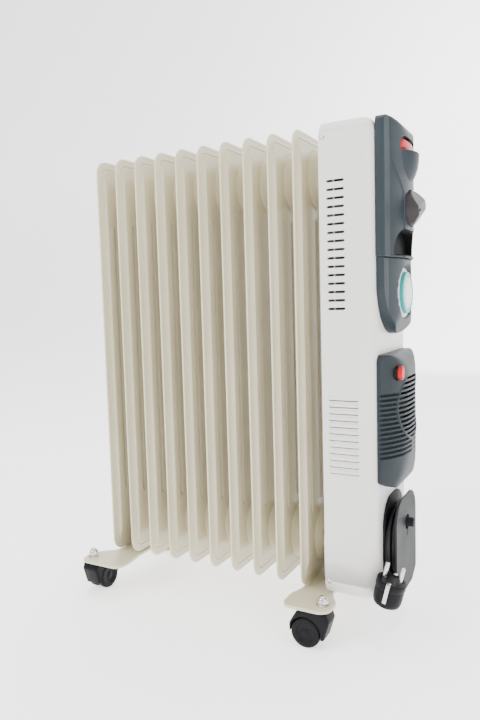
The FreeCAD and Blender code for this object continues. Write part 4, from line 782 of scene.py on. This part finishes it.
# ------------------------------------------------------------------ housing
def housing_surface():
    """The sheet metal casing: a rounded rectangle along X, turned in to a flat end, slotted and louvred.

    Its grid runs round the outline (s) and along the profile (t): side wall, quarter turn, then end face.
    """
    half, low, high, corner, turn_in, end = 76.4, 53.6, 636.4, 22.4, 16.5, END_X
    louvre_rows = [304.4 - 8.2 * i for i in range(12)]
    slot_rows = [565.4 - 10 * i for i in range(16)]
    zs = [low + corner, 120, 160, 195, 206]
    for z in louvre_rows:
        zs += [z - 0.9, z - 0.45, z - 0.05, z + 0.05, z + 0.6, z + 1.6, z + 2.8, z + 4.0, z + 5.0, z + 5.6]
    for z in slot_rows:
        zs += [z - 4.2, z - 3.1, z - 2.4, z - 1.7, z - 1.2, z - 0.7, z, z + 0.7, z + 1.8]
    zs = np.unique(np.round(zs + [330, 360, 390, 585, 600, high - corner], 3))
    arc_turn = np.radians(np.linspace(0, 90, 11))[1:-1]
    ys = np.linspace(-(half - corner), half - corner, 9)[1:-1]
    outline = [(-half, z, -1.0, 0.0) for z in zs]
    outline += [(-(half - corner), high - corner, -math.cos(t), math.sin(t)) for t in arc_turn]
    outline += [(y, high - corner, 0.0, 1.0) for y in [-(half - corner), *ys, half - corner]]
    outline = np.array([(a if b != high - corner or c != -1.0 else a, b, c, d) for a, b, c, d in outline])
    outline[:len(zs), 0] = -(half - corner)
    upper = outline
    right = upper[::-1].copy()
    right[:, 0] *= -1
    right[:, 2] *= -1
    right = right[(right[:, 3] < 1.0)]
    top = np.vstack([upper, right])
    lower = np.array([((half - corner), low + corner, math.cos(t), -math.sin(t)) for t in arc_turn]
                     + [(y, low + corner, 0.0, -1.0) for y in [half - corner, *ys[::-1], -(half - corner)]]
                     + [(-(half - corner), low + corner, -math.sin(t), -math.cos(t)) for t in arc_turn])
    loop = np.vstack([top, lower])
    loop = np.vstack([loop, loop[:1]])
    along = np.concatenate([[0, 0.5], np.arange(2.5, 48.6, 1.7),
                            48.5 + 16.5 * np.radians([6, 14, 23, 33, 44, 56, 68, 79, 90])])
    flat_start = 48.5 + 16.5 * math.pi / 2

    def in_space(s, t):
        index = np.clip(s, 0, len(loop) - 1.000001)
        k = index.astype(int)
        w = (index - k)[:, None]
        row = loop[k] * (1 - w) + loop[np.minimum(k + 1, len(loop) - 1)] * w
        angle = np.clip((t - 48.5) / 16.5, 0, np.pi / 2)
        inset = turn_in * (1 - np.cos(angle))
        x = MOUTH_X + np.minimum(t, 48.5) + turn_in * np.sin(angle)
        reach = corner - inset
        y, z = row[:, 0] + row[:, 2] * reach, row[:, 1] + row[:, 3] * reach
        return x, y, z, row

    us = np.arange(len(loop)).astype(float)
    points, faces = sheet_grid(us, along)
    x, y, z, _ = in_space(points[:, 0], points[:, 1])
    field = np.full(len(points), 9.0)
    on_side = np.abs(np.abs(y) - half) < 0.01
    for top_z in slot_rows:
        slot = 1.5 - np.hypot(x - np.clip(x, 144.2, 163.3), z - (top_z - 1.2))
        field = np.where(on_side, np.minimum(field, -slot), field)
    for low_z in louvre_rows:
        slit = np.minimum(0.75 - np.abs(z - (low_z - 0.8)), 18.6 - np.abs(x - 160.25))
        field = np.where(on_side, np.minimum(field, -slit), field)
    points, faces = clip(points, faces, field)
    x, y, z, row = in_space(points[:, 0], points[:, 1])
    lift = np.zeros(len(points))
    for low_z in louvre_rows:
        share = (z - low_z) / 5.4
        scoop = np.where((share >= -0.001) & (share < 1), np.cos(np.clip(share, 0, 1) * np.pi / 2) ** 0.9,
                         0.0)
        lift += 2.6 * scoop * ramp(19.25 - np.abs(x - 160.25), 0, 3.2) * (np.abs(np.abs(y) - half) < 0.01)
    space = np.stack([x, y + row[:, 2] * lift, z + row[:, 3] * lift], -1)
    sheet = shell(space, faces[:, ::-1], 1.0)
    ring = in_space(us, np.full(len(us), flat_start))
    edge = np.stack([ring[0], ring[1], ring[2]], -1)
    spine = np.stack([np.full(len(us), end), np.zeros(len(us)), np.clip(ring[2], low + half, high - half)],
                     -1)
    rows = [edge * (1 - k) + spine * k for k in (0, 0.03, 0.3, 0.65, 1)]
    front = np.stack(rows, 1)[:-1]
    back = front[:, ::-1] - np.array([1.0, 0, 0])
    cap = rolled(np.concatenate([front, back, front[:, :1]], 1))
    return sheet, cap


piece("housing_casing", list(housing_surface()), "heater", casing_white, ["housing"])
screws = []
for side in (-1, 1):
    for z in (75.1, 614.9):
        head = lathe([(0, 0), (3.3, 0), (3.3, 0.5), (2.6, 1.2), (1.4, 1.55), (0, 1.6)],
                     (139, side * 76.4, z), (0, side, 0), 28)
        screws.append(head)
piece("housing_screw_heads", screws, "heater", steel, ["housing_screws"])


# ------------------------------------------------------------------ covers on the end face
def bowed_height(u, half, ridge_y, ridge, crown, edge=10.5):
    """Height over the end face of a bowed cover: slanted bands at the sides and one arc between the ridges.

    The arc has radius (y^2 + s^2) / 2s for ridges at +-y that lie s below the crown.
    """
    sagitta = crown - ridge
    radius = (ridge_y ** 2 + sagitta ** 2) / (2 * sagitta) if sagitta > 0 else 1e6
    arched = crown - radius + np.sqrt(np.maximum(radius * radius - u * u, 0))
    band = edge + (half - np.abs(u)) * (ridge - edge) / max(half - ridge_y, 1e-6)
    return END_X + np.where(np.abs(u) < ridge_y, arched, band)


FASCIA_FRONT = rounded_outline([(-FASCIA_HALF, SEAM_Z, 0.8), (FASCIA_HALF, SEAM_Z, 0.8),
                                (FASCIA_HALF, FASCIA_TOP, 8),
                                (-FASCIA_HALF, FASCIA_TOP, 8)], 10)
RECESS = rounded_outline([(-45, 475.5, 3), (45, 475.5, 3), (45, 507.5, 26), (-45, 507.5, 26)], 9)


def cover_back(front, outline, rim, wall):
    """The back of a moulded cover: a wall behind its front, and down to the end face along its rim."""
    return lambda u, v: np.maximum(END_X + 0.1, front(u, v) - np.where(depth_in(u, v, outline) < rim, 40,
                                                                       wall))


def fascia_crease(v):
    """Distance of the fascia's crease from its middle: wide at the top, drawn in below the bowl."""
    return 51.5 - 29 * ramp(602 - v, 0, 62) ** 1.15


def fascia_height(u, v):
    """The fascia's front: bowed, falling back at the top, stepped along its crease, rounded at its rim."""
    height = bowed_height(u, FASCIA_HALF, RIDGE_Y, RIDGE, CROWN)
    rise = np.clip((v - 611.0) / 24.2, 0, 1)
    top = END_X + 9.5 + 16.5 * np.sqrt(1 - rise ** 2.4)
    height = np.minimum(height, soft_min(height, top, 2.0))
    lowered = 1.1 * ramp(np.abs(u) - fascia_crease(v), -0.4, 0.7) * ramp(52.2 - np.abs(u), -0.2,
                                                                         0.9) * ramp(v, 473, 474)
    return height - lowered - rounding(depth_in(u, v, FASCIA_FRONT), 1.2)


LAMP = rounded_outline([(-31, 601.2, 2), (31, 601.2, 2), (31, 614.7, 10.5), (-31, 614.7, 10.5)], 8)
LAMP_HOLE = rounded_outline([(-32, 600.2, 2), (32, 600.2, 2), (32, 616.6, 11.5), (-32, 616.6, 11.5)], 8)


def cup_form():
    """The shallow bowl under the lamp, a lathe form that stands out of the fascia, hollow from above."""
    outer = [(58, 599.4), (57.9, 594), (57.4, 588), (56.3, 582), (54.4, 576), (51.8, 570.4), (48, 564.8),
             (0, 562)]
    inner = [(0, 566), (45, 568.6), (48.9, 573), (51.6, 578), (53.6, 583), (54.8, 588), (55.4, 594),
             (55.6, 599.4)]
    profile = outer[::-1] + [(57.4, 600), (56.2, 600)] + inner[::-1]
    points, faces = lathe(profile, (175.5, 0, 0), (0, 0, 1), 192)
    narrowed = points * np.array([1.0, 0.8, 1.0])
    return clip(narrowed, faces, points[:, 0] - 216.0)


columns = mirror_values([0, 3, 6, 9, 11, 13, 16, 19, 22, 24, 26.5, 29, 32, 35, 38, 41, 44, 46, 48, 50, 51.2,
                         52.0, 52.6, 53, 53.3,
                         54.5, 57, 60, 62.5, 64, 65, 65.5])
fascia = plate(
    columns, spaced(SEAM_Z, FASCIA_TOP, 1.6),
    [inside(FASCIA_FRONT), outside(LAMP_HOLE), beyond(0, KNOB_Z, 22.6), outside(RECESS)],
    fascia_height, cover_back(fascia_height, FASCIA_FRONT, 1.3, 2.6), facing_x,
    contours(FASCIA_FRONT, 0.3, 0.8, 1.4)
    + [lambda u, v, d=d: np.abs(u) - fascia_crease(v) + d for d in (0.4, -0.7)])
piece("fascia_cover", [fascia, cup_form()], "heater", cover_grey, ["fascia"])



def recess_front(u, v):
    """The recess cup's front: a flat floor, and a wall round it that ends just behind the fascia."""
    rim = bowed_height(u, FASCIA_HALF, RIDGE_Y, RIDGE, CROWN) - 2.0
    return np.where(depth_in(u, v, RECESS) < 1.6, rim, 206.7)


recess_cup = plate(spaced(-44.7, 44.7, 1.5), spaced(475.8, 507.2, 1.4), [inside(RECESS, 0.3)],
                   recess_front, flat(204.9), facing_x, contours(RECESS, 1.5, 1.7))
# The hand recess cup is coloured near-black as painted shade for its hollow.
piece("recess_cup_form", [recess_cup], "heater", painted_shade_black, ["hand_recess_cup"])

lens = plate(spaced(-31, 31, 1.3), spaced(601.2, 614.7, 0.9), [inside(LAMP)],
             lambda u, v: fascia_height(u, v) - 0.9 - rounding(depth_in(u, v, LAMP), 4.0),
             flat(210.5), facing_x, contours(LAMP, 0.4, 1.2, 2.4))
piece("pilot_lens_form", [lens], "heater", red, ["pilot_lens"])


# ------------------------------------------------------------------ knob
def knob_height(u, v):
    """The knob's front: a straight ridge between two slanted facets, a broken rim, a pointer notch."""
    away = np.hypot(u, v - KNOB_Z)
    facets = 226.5 + (21.5 - np.abs(u)) * 11.5 / 16.0
    height = soft_min(np.full(len(u), 238.0), facets, 1.2) - rounding(21 - away, 1.1)
    notch = np.minimum(1.6 - np.abs(u), 4.5 - np.abs(v - KNOB_Z + 15.5))
    return height - 1.3 * ramp(notch, -0.2, 0.4)


knob = plate(mirror_values([0, 0.8, 1.3, 1.8, 2.4, 4, 4.6, 5.3, 6.2, 8, 11, 14, 17, 19, 20, 20.6, 21]),
             spaced(513, 555, 0.9), [
    within(0, KNOB_Z, 21)], knob_height, flat(214.5), facing_x,
    [within(0, KNOB_Z, 21 - d) for d in (0.2, 0.6, 1.1)])
MARK = rounded_outline([(-1.3, 515.0, 0.6), (1.3, 515.0, 0.6), (1.3, 522.6, 0.6), (-1.3, 522.6, 0.6)], 4)
mark = prism(MARK, 236.0, 236.95, facing_x, 0.15)
KNOB_TURN = -73
piece("knob_form", [turned_about_x(knob, KNOB_TURN, KNOB_Z)], "knob", knob_brown, ["thermostat_knob"])
piece("knob_pointer", [turned_about_x(mark, KNOB_TURN, KNOB_Z)], "knob", black_plastic)
spindle = lathe([(0, 187.2), (3, 187.2), (3, 229.6), (0, 229.6)], (0, 0, KNOB_Z), (1, 0, 0), 24)
piece("knob_spindle_bar", [spindle], "knob", steel, ["thermostat_spindle"])

# ------------------------------------------------------------------ timer cover and dial
TIMER_FRONT = rounded_outline([(-TIMER_HALF, TIMER_LOW, 63), (TIMER_HALF, TIMER_LOW, 63),
                               (TIMER_HALF, 473, 0.8),
                               (-TIMER_HALF, 473, 0.8)], 16)


def timer_height(u, v):
    """The timer cover's front: bowed, rounded in at the bottom, with a light bevel along its rim."""
    height = bowed_height(u, TIMER_HALF, 52, 11.5, 22, 9.0)
    height = np.minimum(height, 215.4 + np.maximum(np.hypot(u, v - TIMER_Z) - 32.3, 0) * 1.5)
    low = END_X + 6.0 + 16 * np.sqrt(1 - (1 - np.clip((v - 380.5) / 56, 0, 1)) ** 2)
    return soft_min(height, low, 2.0) - rounding(depth_in(u, v, TIMER_FRONT), 1.2)


timer_cover = plate(
    columns[np.abs(columns) < 64.6], spaced(TIMER_LOW, 473, 1.5),
    [inside(TIMER_FRONT), beyond(0, TIMER_Z, 31.8)],
    timer_height, cover_back(timer_height, TIMER_FRONT, 1.3, 2.6), facing_x,
    contours(TIMER_FRONT, 0.3, 0.8, 1.4))
piece("timer_cover_form", [timer_cover], "heater", cover_grey, ["timer_cover"])

disc = lathe([(0, 203.0), (4, 203.0), (4, 211.4), (31, 211.4), (31, 213), (25.4, 213), (25.3, 218.6),
              (24.9, 219.0), (19.4, 219.0), (19.4, 220.3), (19.0, 220.5), (0, 220.5)],
             (0, 0, TIMER_Z), (1, 0, 0), 96)
piece("dial_disc", [disc], "dial", dial_white, ["timer_dial"])


def tappet_ring():
    """The ring of tappets: a band cut by fine radial notches, softly rounded over its face."""
    angle = np.linspace(0, 2 * np.pi, 48 * 8 + 1)
    phase = np.abs(((angle * 48 / (2 * np.pi)) % 1) - 0.5) * 2
    notch = np.where(phase > 0.86, 1.0, 0.0)
    radii = [25.45, 25.5, 26.0, 26.9, 27.1, 29.0, 30.2, 30.8, 31.0]
    fronts = [213.1, 215.2, 215.8, 216.0, 216.0, 216.0, 215.7, 215.2, 213.1]
    rows = []
    for r, x in zip(radii, fronts):
        depth = notch * (1.6 if r > 26.9 and x > 213.2 else 0.0)
        rows.append(np.stack([x - depth, r * np.sin(angle), TIMER_Z + r * np.cos(angle)], -1))
    back = [np.stack([np.full(len(angle), 213.1), r * np.sin(angle), TIMER_Z + r * np.cos(angle)],
                     -1) for r in (30.9, 25.5)]
    points = np.stack(rows + back + rows[:1], 1)[:-1]
    return rolled(points)


piece("tappet_ring_form", [tappet_ring()], "dial", lavender, ["timer_tappets"])
collar = lathe([(25.34, 213.2), (25.44, 213.4), (25.44, 219.6), (24.8, 220.3), (20.6, 220.3), (19.9, 219.9),
                (19.6, 219.05), (25.34, 219.05)], (0, 0, TIMER_Z), (1, 0, 0), 96)
piece("dial_teal_collar", [collar], "dial", teal)


def numerals():
    """Small generic hour numbers in a circle, drawn as text and taken as a mesh."""
    made = []
    for hour in range(2, 25, 2):
        data = bpy.data.curves.new("numeral", "FONT")
        data.body = str(hour)
        data.size = 4.4
        data.align_x, data.align_y = "CENTER", "CENTER"
        data.extrude = 0.04
        data.resolution_u = 2
        text = bpy.data.objects.new("numeral", data)
        scene.collection.objects.link(text)
        bpy.context.view_layer.update()
        mesh = bpy.data.meshes.new_from_object(text.evaluated_get(bpy.context.evaluated_depsgraph_get()))
        mesh.calc_loop_triangles()
        points = np.array([v.co for v in mesh.vertices])
        faces = np.array([t.vertices for t in mesh.loop_triangles])
        turn = -math.radians(hour * 15)
        u = points[:, 0] * math.cos(turn) - (points[:, 1] + 15.2) * math.sin(turn)
        v = points[:, 0] * math.sin(turn) + (points[:, 1] + 15.2) * math.cos(turn)
        made.append((np.stack([220.52 + points[:, 2], u, TIMER_Z + v], -1), faces))
        bpy.data.objects.remove(text)
        bpy.data.meshes.remove(mesh)
        bpy.data.curves.remove(data)
    return made


piece("dial_numerals", numerals(), "dial", print_ink)

# ------------------------------------------------------------------ fan cover
FAN_FRONT = rounded_outline([(-FASCIA_HALF, 203, 5), (-33, 190.5, 60), (0, 186, 60), (33, 190.5, 60),
                             (FASCIA_HALF, 203, 5),
                             (FASCIA_HALF, FAN_TOP, 9), (-FASCIA_HALF, FAN_TOP, 9)], 9)
SLOT_ROWS = [309.4 - 5.8 * i for i in range(-3, 14)]


def fan_height(u, v):
    """The fan cover's front: a deep bow, sloped below, rounded above, blind grooves beside a raised ring."""
    sagitta = 23.0
    radius = (65.5 ** 2 + sagitta ** 2) / (2 * sagitta)
    arched = END_X + 28 - radius + np.sqrt(radius * radius - u * u)
    low = END_X + 5 + 23 * np.sqrt(1 - (1 - np.clip((v - 185) / 66, 0, 1)) ** 2.1)
    high = END_X + 9 + 19 * np.sqrt(1 - (1 - np.clip((358.3 - v) / 40, 0, 1)) ** 2.1)
    height = soft_min(soft_min(arched, low, 5.0), high, 4.0) - rounding(depth_in(u, v, FAN_FRONT), 1.4)
    away = np.hypot(u, v - GRILLE_Z)
    wave = np.zeros(len(u))
    for z in SLOT_ROWS[3:]:
        wave = np.maximum(wave, ramp(1.9 - np.abs(v - z), 0.0, 1.5))
    groove = wave * ramp(away, 43.6, 44.6) * ramp(np.abs(u), 3, 6)
    ring = 0.9 * np.exp(-((away - 42.9) / 0.8) ** 2) * ramp(326 - v, -10, 10)
    return height - 3.0 * groove + ring


def slot_field(u, v):
    """Above 0 outside the open slots, which end at the grille circle."""
    field = np.full(len(u), 9.0)
    for z in SLOT_ROWS:
        slot = np.minimum(1.6 - np.abs(v - z), 41.5 - np.hypot(u, v - GRILLE_Z))
        field = np.minimum(field, -slot)
    return field


slot_lines = []
for z in SLOT_ROWS:
    slot_lines += [z - 2.9, z - 1.9, z - 1.4, z - 0.9, z, z + 0.9, z + 1.4, z + 1.9]
fan_rows = np.unique(np.round(np.concatenate([spaced(186, 230, 1.6), slot_lines, spaced(330, 358, 1.4)]),
                              3))
fan_cover = plate(mirror_values(np.concatenate([spaced(0, 63, 1.6), [63.8, 64.4, 64.9, 65.2, 65.5]])),
                  fan_rows, [
    inside(FAN_FRONT), slot_field, beyond(-41, 335, 9.5)], fan_height,
    cover_back(fan_height, FAN_FRONT, 1.5, 2.5), facing_x,
    contours(FAN_FRONT, 0.3, 0.8, 1.6) + [within(0, GRILLE_Z, r) for r in (41.5, 42.2, 43.0, 43.7, 44.4)])
piece("fan_cover_form", [fan_cover], "heater", fan_grey, ["fan_cover"])

button = lathe([(0, 203), (2.5, 203), (2.5, 214), (8.2, 214), (8.2, 222.4), (7.9, 223.3), (7.1, 223.9),
                (5.5, 224.05), (2.5, 223.6), (0, 223.5)], (0, -41, 335),
               (1, 0, 0), 56)
piece("button_form", [button], "button", red, ["fan_button"])
bezel = lathe([(8.35, 214), (9.35, 214), (9.35, 218.8), (9.0, 219.2), (8.35, 219.0)], (0, -41, 335),
              (1, 0, 0), 56)
piece("button_bezel", [bezel], "heater", black_plastic)

# ------------------------------------------------------------------ winder
tray_outline = rounded_outline([(190.5, -52, 3), (212.1, -52, 5), (212.1, 46, 5), (190.5, 46, 3)], 6)
base_outline = rounded_outline([(-46, 47, 6), (46, 47, 6), (46, 175, 34), (-46, 175, 34)], 10)
core_outline = rounded_outline([(-24, 79, 22), (24, 79, 22), (24, 143, 22), (-24, 143, 22)], 10)
post = lathe([(0, 200), (6, 200), (6, 224.2), (5.6, 225.3), (4.6, 226), (0, 226)], (0, 3, 137), (1, 0, 0),
             40)
piece("winder_base_form", [prism(tray_outline, 44, 47, facing_z, 0.5),
                           prism(base_outline, 198.5, 201.1, facing_x, 0.5),
                           prism(core_outline, 200.6, 214.3, facing_x, 0.2), post], "heater", tray_grey,
                           ["winder_base"])
FLANGE = rounded_outline([(-51, 61, 4), (-30, 49, 8), (30, 49, 8), (51, 61, 4), (51, 173, 30),
                          (-51, 173, 30)], 9)


def flange_front(u, v):
    """The winder flange's front: a rounded rim and parallel ridges across its top."""
    depth = depth_in(u, v, FLANGE)
    ridges = 0.55 * (0.5 + 0.5 * np.cos((v - 160) * 2 * np.pi / 4.4))
    wave = ridges * ramp(v, 148.5, 150) * ramp(171 - v, 0, 2) * ramp(depth, 3, 5)
    return 216.95 + wave - rounding(depth, 1.3)


flange = plate(spaced(-51, 51, 1.7), np.unique(np.concatenate([spaced(49, 147, 1.8),
                                                               spaced(147, 173, 0.55)])), [
    inside(FLANGE), beyond(3, 137, 10.0),
    lambda u, v: -np.minimum(1.2 - np.abs(u - 3), 7 - np.abs(v - 125))], flange_front, flat(214.3),
    facing_x,
    contours(FLANGE, 0.3, 0.8, 1.4))
piece("winder_flange_form", [flange], "heater", winder_grey, ["winder_flange"])

# ------------------------------------------------------------------ plug
TILT = math.radians(14)
LEAN = np.array([math.sin(TILT), 0, math.cos(TILT)])
ACROSS = np.array([math.cos(TILT), 0, -math.sin(TILT)])
FACE = np.array([218.2, -77.5, 92.3])


def leaned(surface):
    """A surface made about the upright plug axis, tilted and moved to the plug's face."""
    points, faces = surface
    turned = points[:, :1] * ACROSS + points[:, 1:2] * np.array([0.0, 1.0, 0.0]) + points[:, 2:] * LEAN
    return turned + FACE, faces


def plug_surface():
    """The plug: a round grip, narrower at its back, ribbed at its rim, flat under the earth strips."""
    levels = [(-33, 0), (-33, 9), (-32.4, 12.6), (-30.5, 15.4), (-27, 16.8), (-22, 17.2), (-12, 17.3),
              (-9, 17.2), (-8.2, 17.75),
              (-1.2, 17.8), (-0.3, 17.4), (0, 16.6), (0, 14.2), (-0.9, 13.9), (-0.9, 0)]
    turn = np.linspace(0, 2 * np.pi, 96, endpoint=False)
    rings = []
    for height, radius in levels:
        flat = 16.1 if radius > 16.1 else radius
        y = radius * np.sin(turn)
        strip = np.abs(radius * np.cos(turn)) < 3.0
        y = np.where(strip, np.clip(y, -flat, flat), y)
        rings.append(np.stack([radius * np.cos(turn), y, np.full(96, float(height))], -1))
    return leaned(rolled(np.stack(rings, 1)))


plug_boss = lathe([(0, 0), (7.4, 0), (7.0, 4), (6.2, 10), (5.3, 14), (4.6, 19.3), (4.0, 19.8), (0, 19.8)],
                  (210.3, -77.5, 65.1), (0, 1, 0), 40)
piece("plug_form", [plug_surface(), plug_boss], "heater", black_plastic, ["plug_body"])
pins = []
for sign in (-1, 1):
    pins.append(leaned(lathe([(0, -6), (2.4, -6), (2.4, 17.4), (2.1, 18.3), (1.4, 18.9), (0, 19)],
                             (sign * 9.5, 0, 0), (0, 0, 1), 32)))
piece("plug_pin_bars", pins, "heater", steel, ["plug_pins"])
clips = []
for sign in (-1, 1):
    strip = rounded_outline([(-2.3, -24, 0.8), (2.3, -24, 0.8), (2.3, 0.8, 0.5), (-2.3, 0.8, 0.5)], 4)
    near, far = sorted((sign * 16.2, sign * 17.9))
    clips.append(leaned(prism(strip, near, far, facing_y, 0.3)))
    near, far = sorted((sign * 12.6, sign * 17.9))
    tab = rounded_outline([(-2.3, near, 0.5), (2.3, near, 0.5), (2.3, far, 0.5), (-2.3, far, 0.5)], 4)
    clips.append(leaned(prism(tab, -0.5, 0.8, facing_z, 0.3)))
piece("plug_clip_strips", clips, "heater", steel, ["plug_earth_clips"])
gland = prism(rounded_outline([(201.1, 24, 1), (209.1, 24, 1), (209.1, 32, 1), (201.1, 32, 1)], 4), 100,
              135, facing_z, 0.5)
piece("cord_gland_form", [gland], "heater", black_plastic, ["cord_gland"])

tuple(c * MM for c in ROUTE[0])

# ------------------------------------------------------------------ parts seen only through openings
# The near-black parts here are painted shade: their colour stands in for the shade inside the casing, seen
# through the openings.
INSIDE = {"thermostat": tray_grey, "timer_mechanism": painted_shade_black, "fan_switch": painted_shade_black,
          "fan_frame": painted_shade_black, "fan_motor": inner_parts,
          "fan_impeller": painted_shade_black, "ptc_heater": painted_shade_black, "heat_shield": inner_parts,
          "heating_elements": inner_parts,
          "element_flange": inner_parts}
for node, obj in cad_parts.items():
    if not obj.hide_render and obj.type == "MESH" and obj.name in bpy.data.objects:
        finish = INSIDE.get(node, tray_grey)
        obj.data.materials.clear()
        obj.data.materials.append(finish)


# ------------------------------------------------------------------ floor and light
def floor():
    """A plain pale floor that rises behind in one wide curve."""
    turn = np.radians(np.linspace(0, 90, 24))
    profile = [(-4.0, 0.0)] + [(3.0 + 2.0 * math.sin(t), 2.0 - 2.0 * math.cos(t)) for t in turn] + [(5.0,
                                                                                                     6.0)]
    points = np.array([[x, y, z] for x in (-8.0, 8.0) for y, z in profile])
    n = len(profile)
    mesh = bpy.data.meshes.new("floor")
    mesh.from_pydata(points.tolist(), [], [(i, i + 1, n + i + 1, n + i) for i in range(n - 1)])
    mesh.shade_smooth()
    made = bpy.data.objects.new("floor", mesh)
    scene.collection.objects.link(made)
    f = Finish("floor_paper")
    drift = f.noise(3.0, 2.0)
    tone = f.mix(f.between(drift, 0.3, 0.7, 0.0, 1.0), (0.93, 0.93, 0.935), (0.95, 0.95, 0.955))
    mesh.materials.append(f.surface(Base_Color=tone, Emission_Color=tone, Emission_Strength=1.3,
                                    Roughness=0.75 + f.between(drift, 0.3, 0.7, -0.02, 0.02)))
    return made


def light(name, place, target, size, power, colour=(1, 1, 1)):
    """A square soft light at a place in metres, turned towards a target."""
    data = bpy.data.lights.new(name, "AREA")
    data.shape = "SQUARE"
    data.size = size
    data.energy = power
    data.color = colour
    lamp = bpy.data.objects.new(name, data)
    scene.collection.objects.link(lamp)
    ahead = np.array(target, float) - np.array(place, float)
    ahead /= np.linalg.norm(ahead)
    side = np.cross(ahead, [0, 0, 1.0])
    side /= np.linalg.norm(side)
    matrix = np.eye(4)
    matrix[:3, 0], matrix[:3, 1], matrix[:3, 2], matrix[:3, 3] = side, np.cross(side, ahead), -ahead, place
    lamp.matrix_world = Matrix(matrix.tolist())
    return lamp


floor()
light("key", (-1.3, -2.4, 2.1), (0.0, 0.0, 0.3), 1.8, 85)
light("fill", (2.6, -1.3, 1.1), (0.1, 0.0, 0.3), 2.2, 60)
light("top", (0.0, 0.2, 2.7), (0.0, 0.0, 0.3), 2.2, 70)
light("back", (0.3, 3.2, 1.9), (0.1, 6.0, 1.2), 3.0, 120)
world = bpy.data.worlds.new("studio")
scene.world = world
world.use_nodes = True
world.node_tree.nodes["Background"].inputs["Color"].default_value = (1.0, 1.0, 1.0, 1)
world.node_tree.nodes["Background"].inputs["Strength"].default_value = 1.0
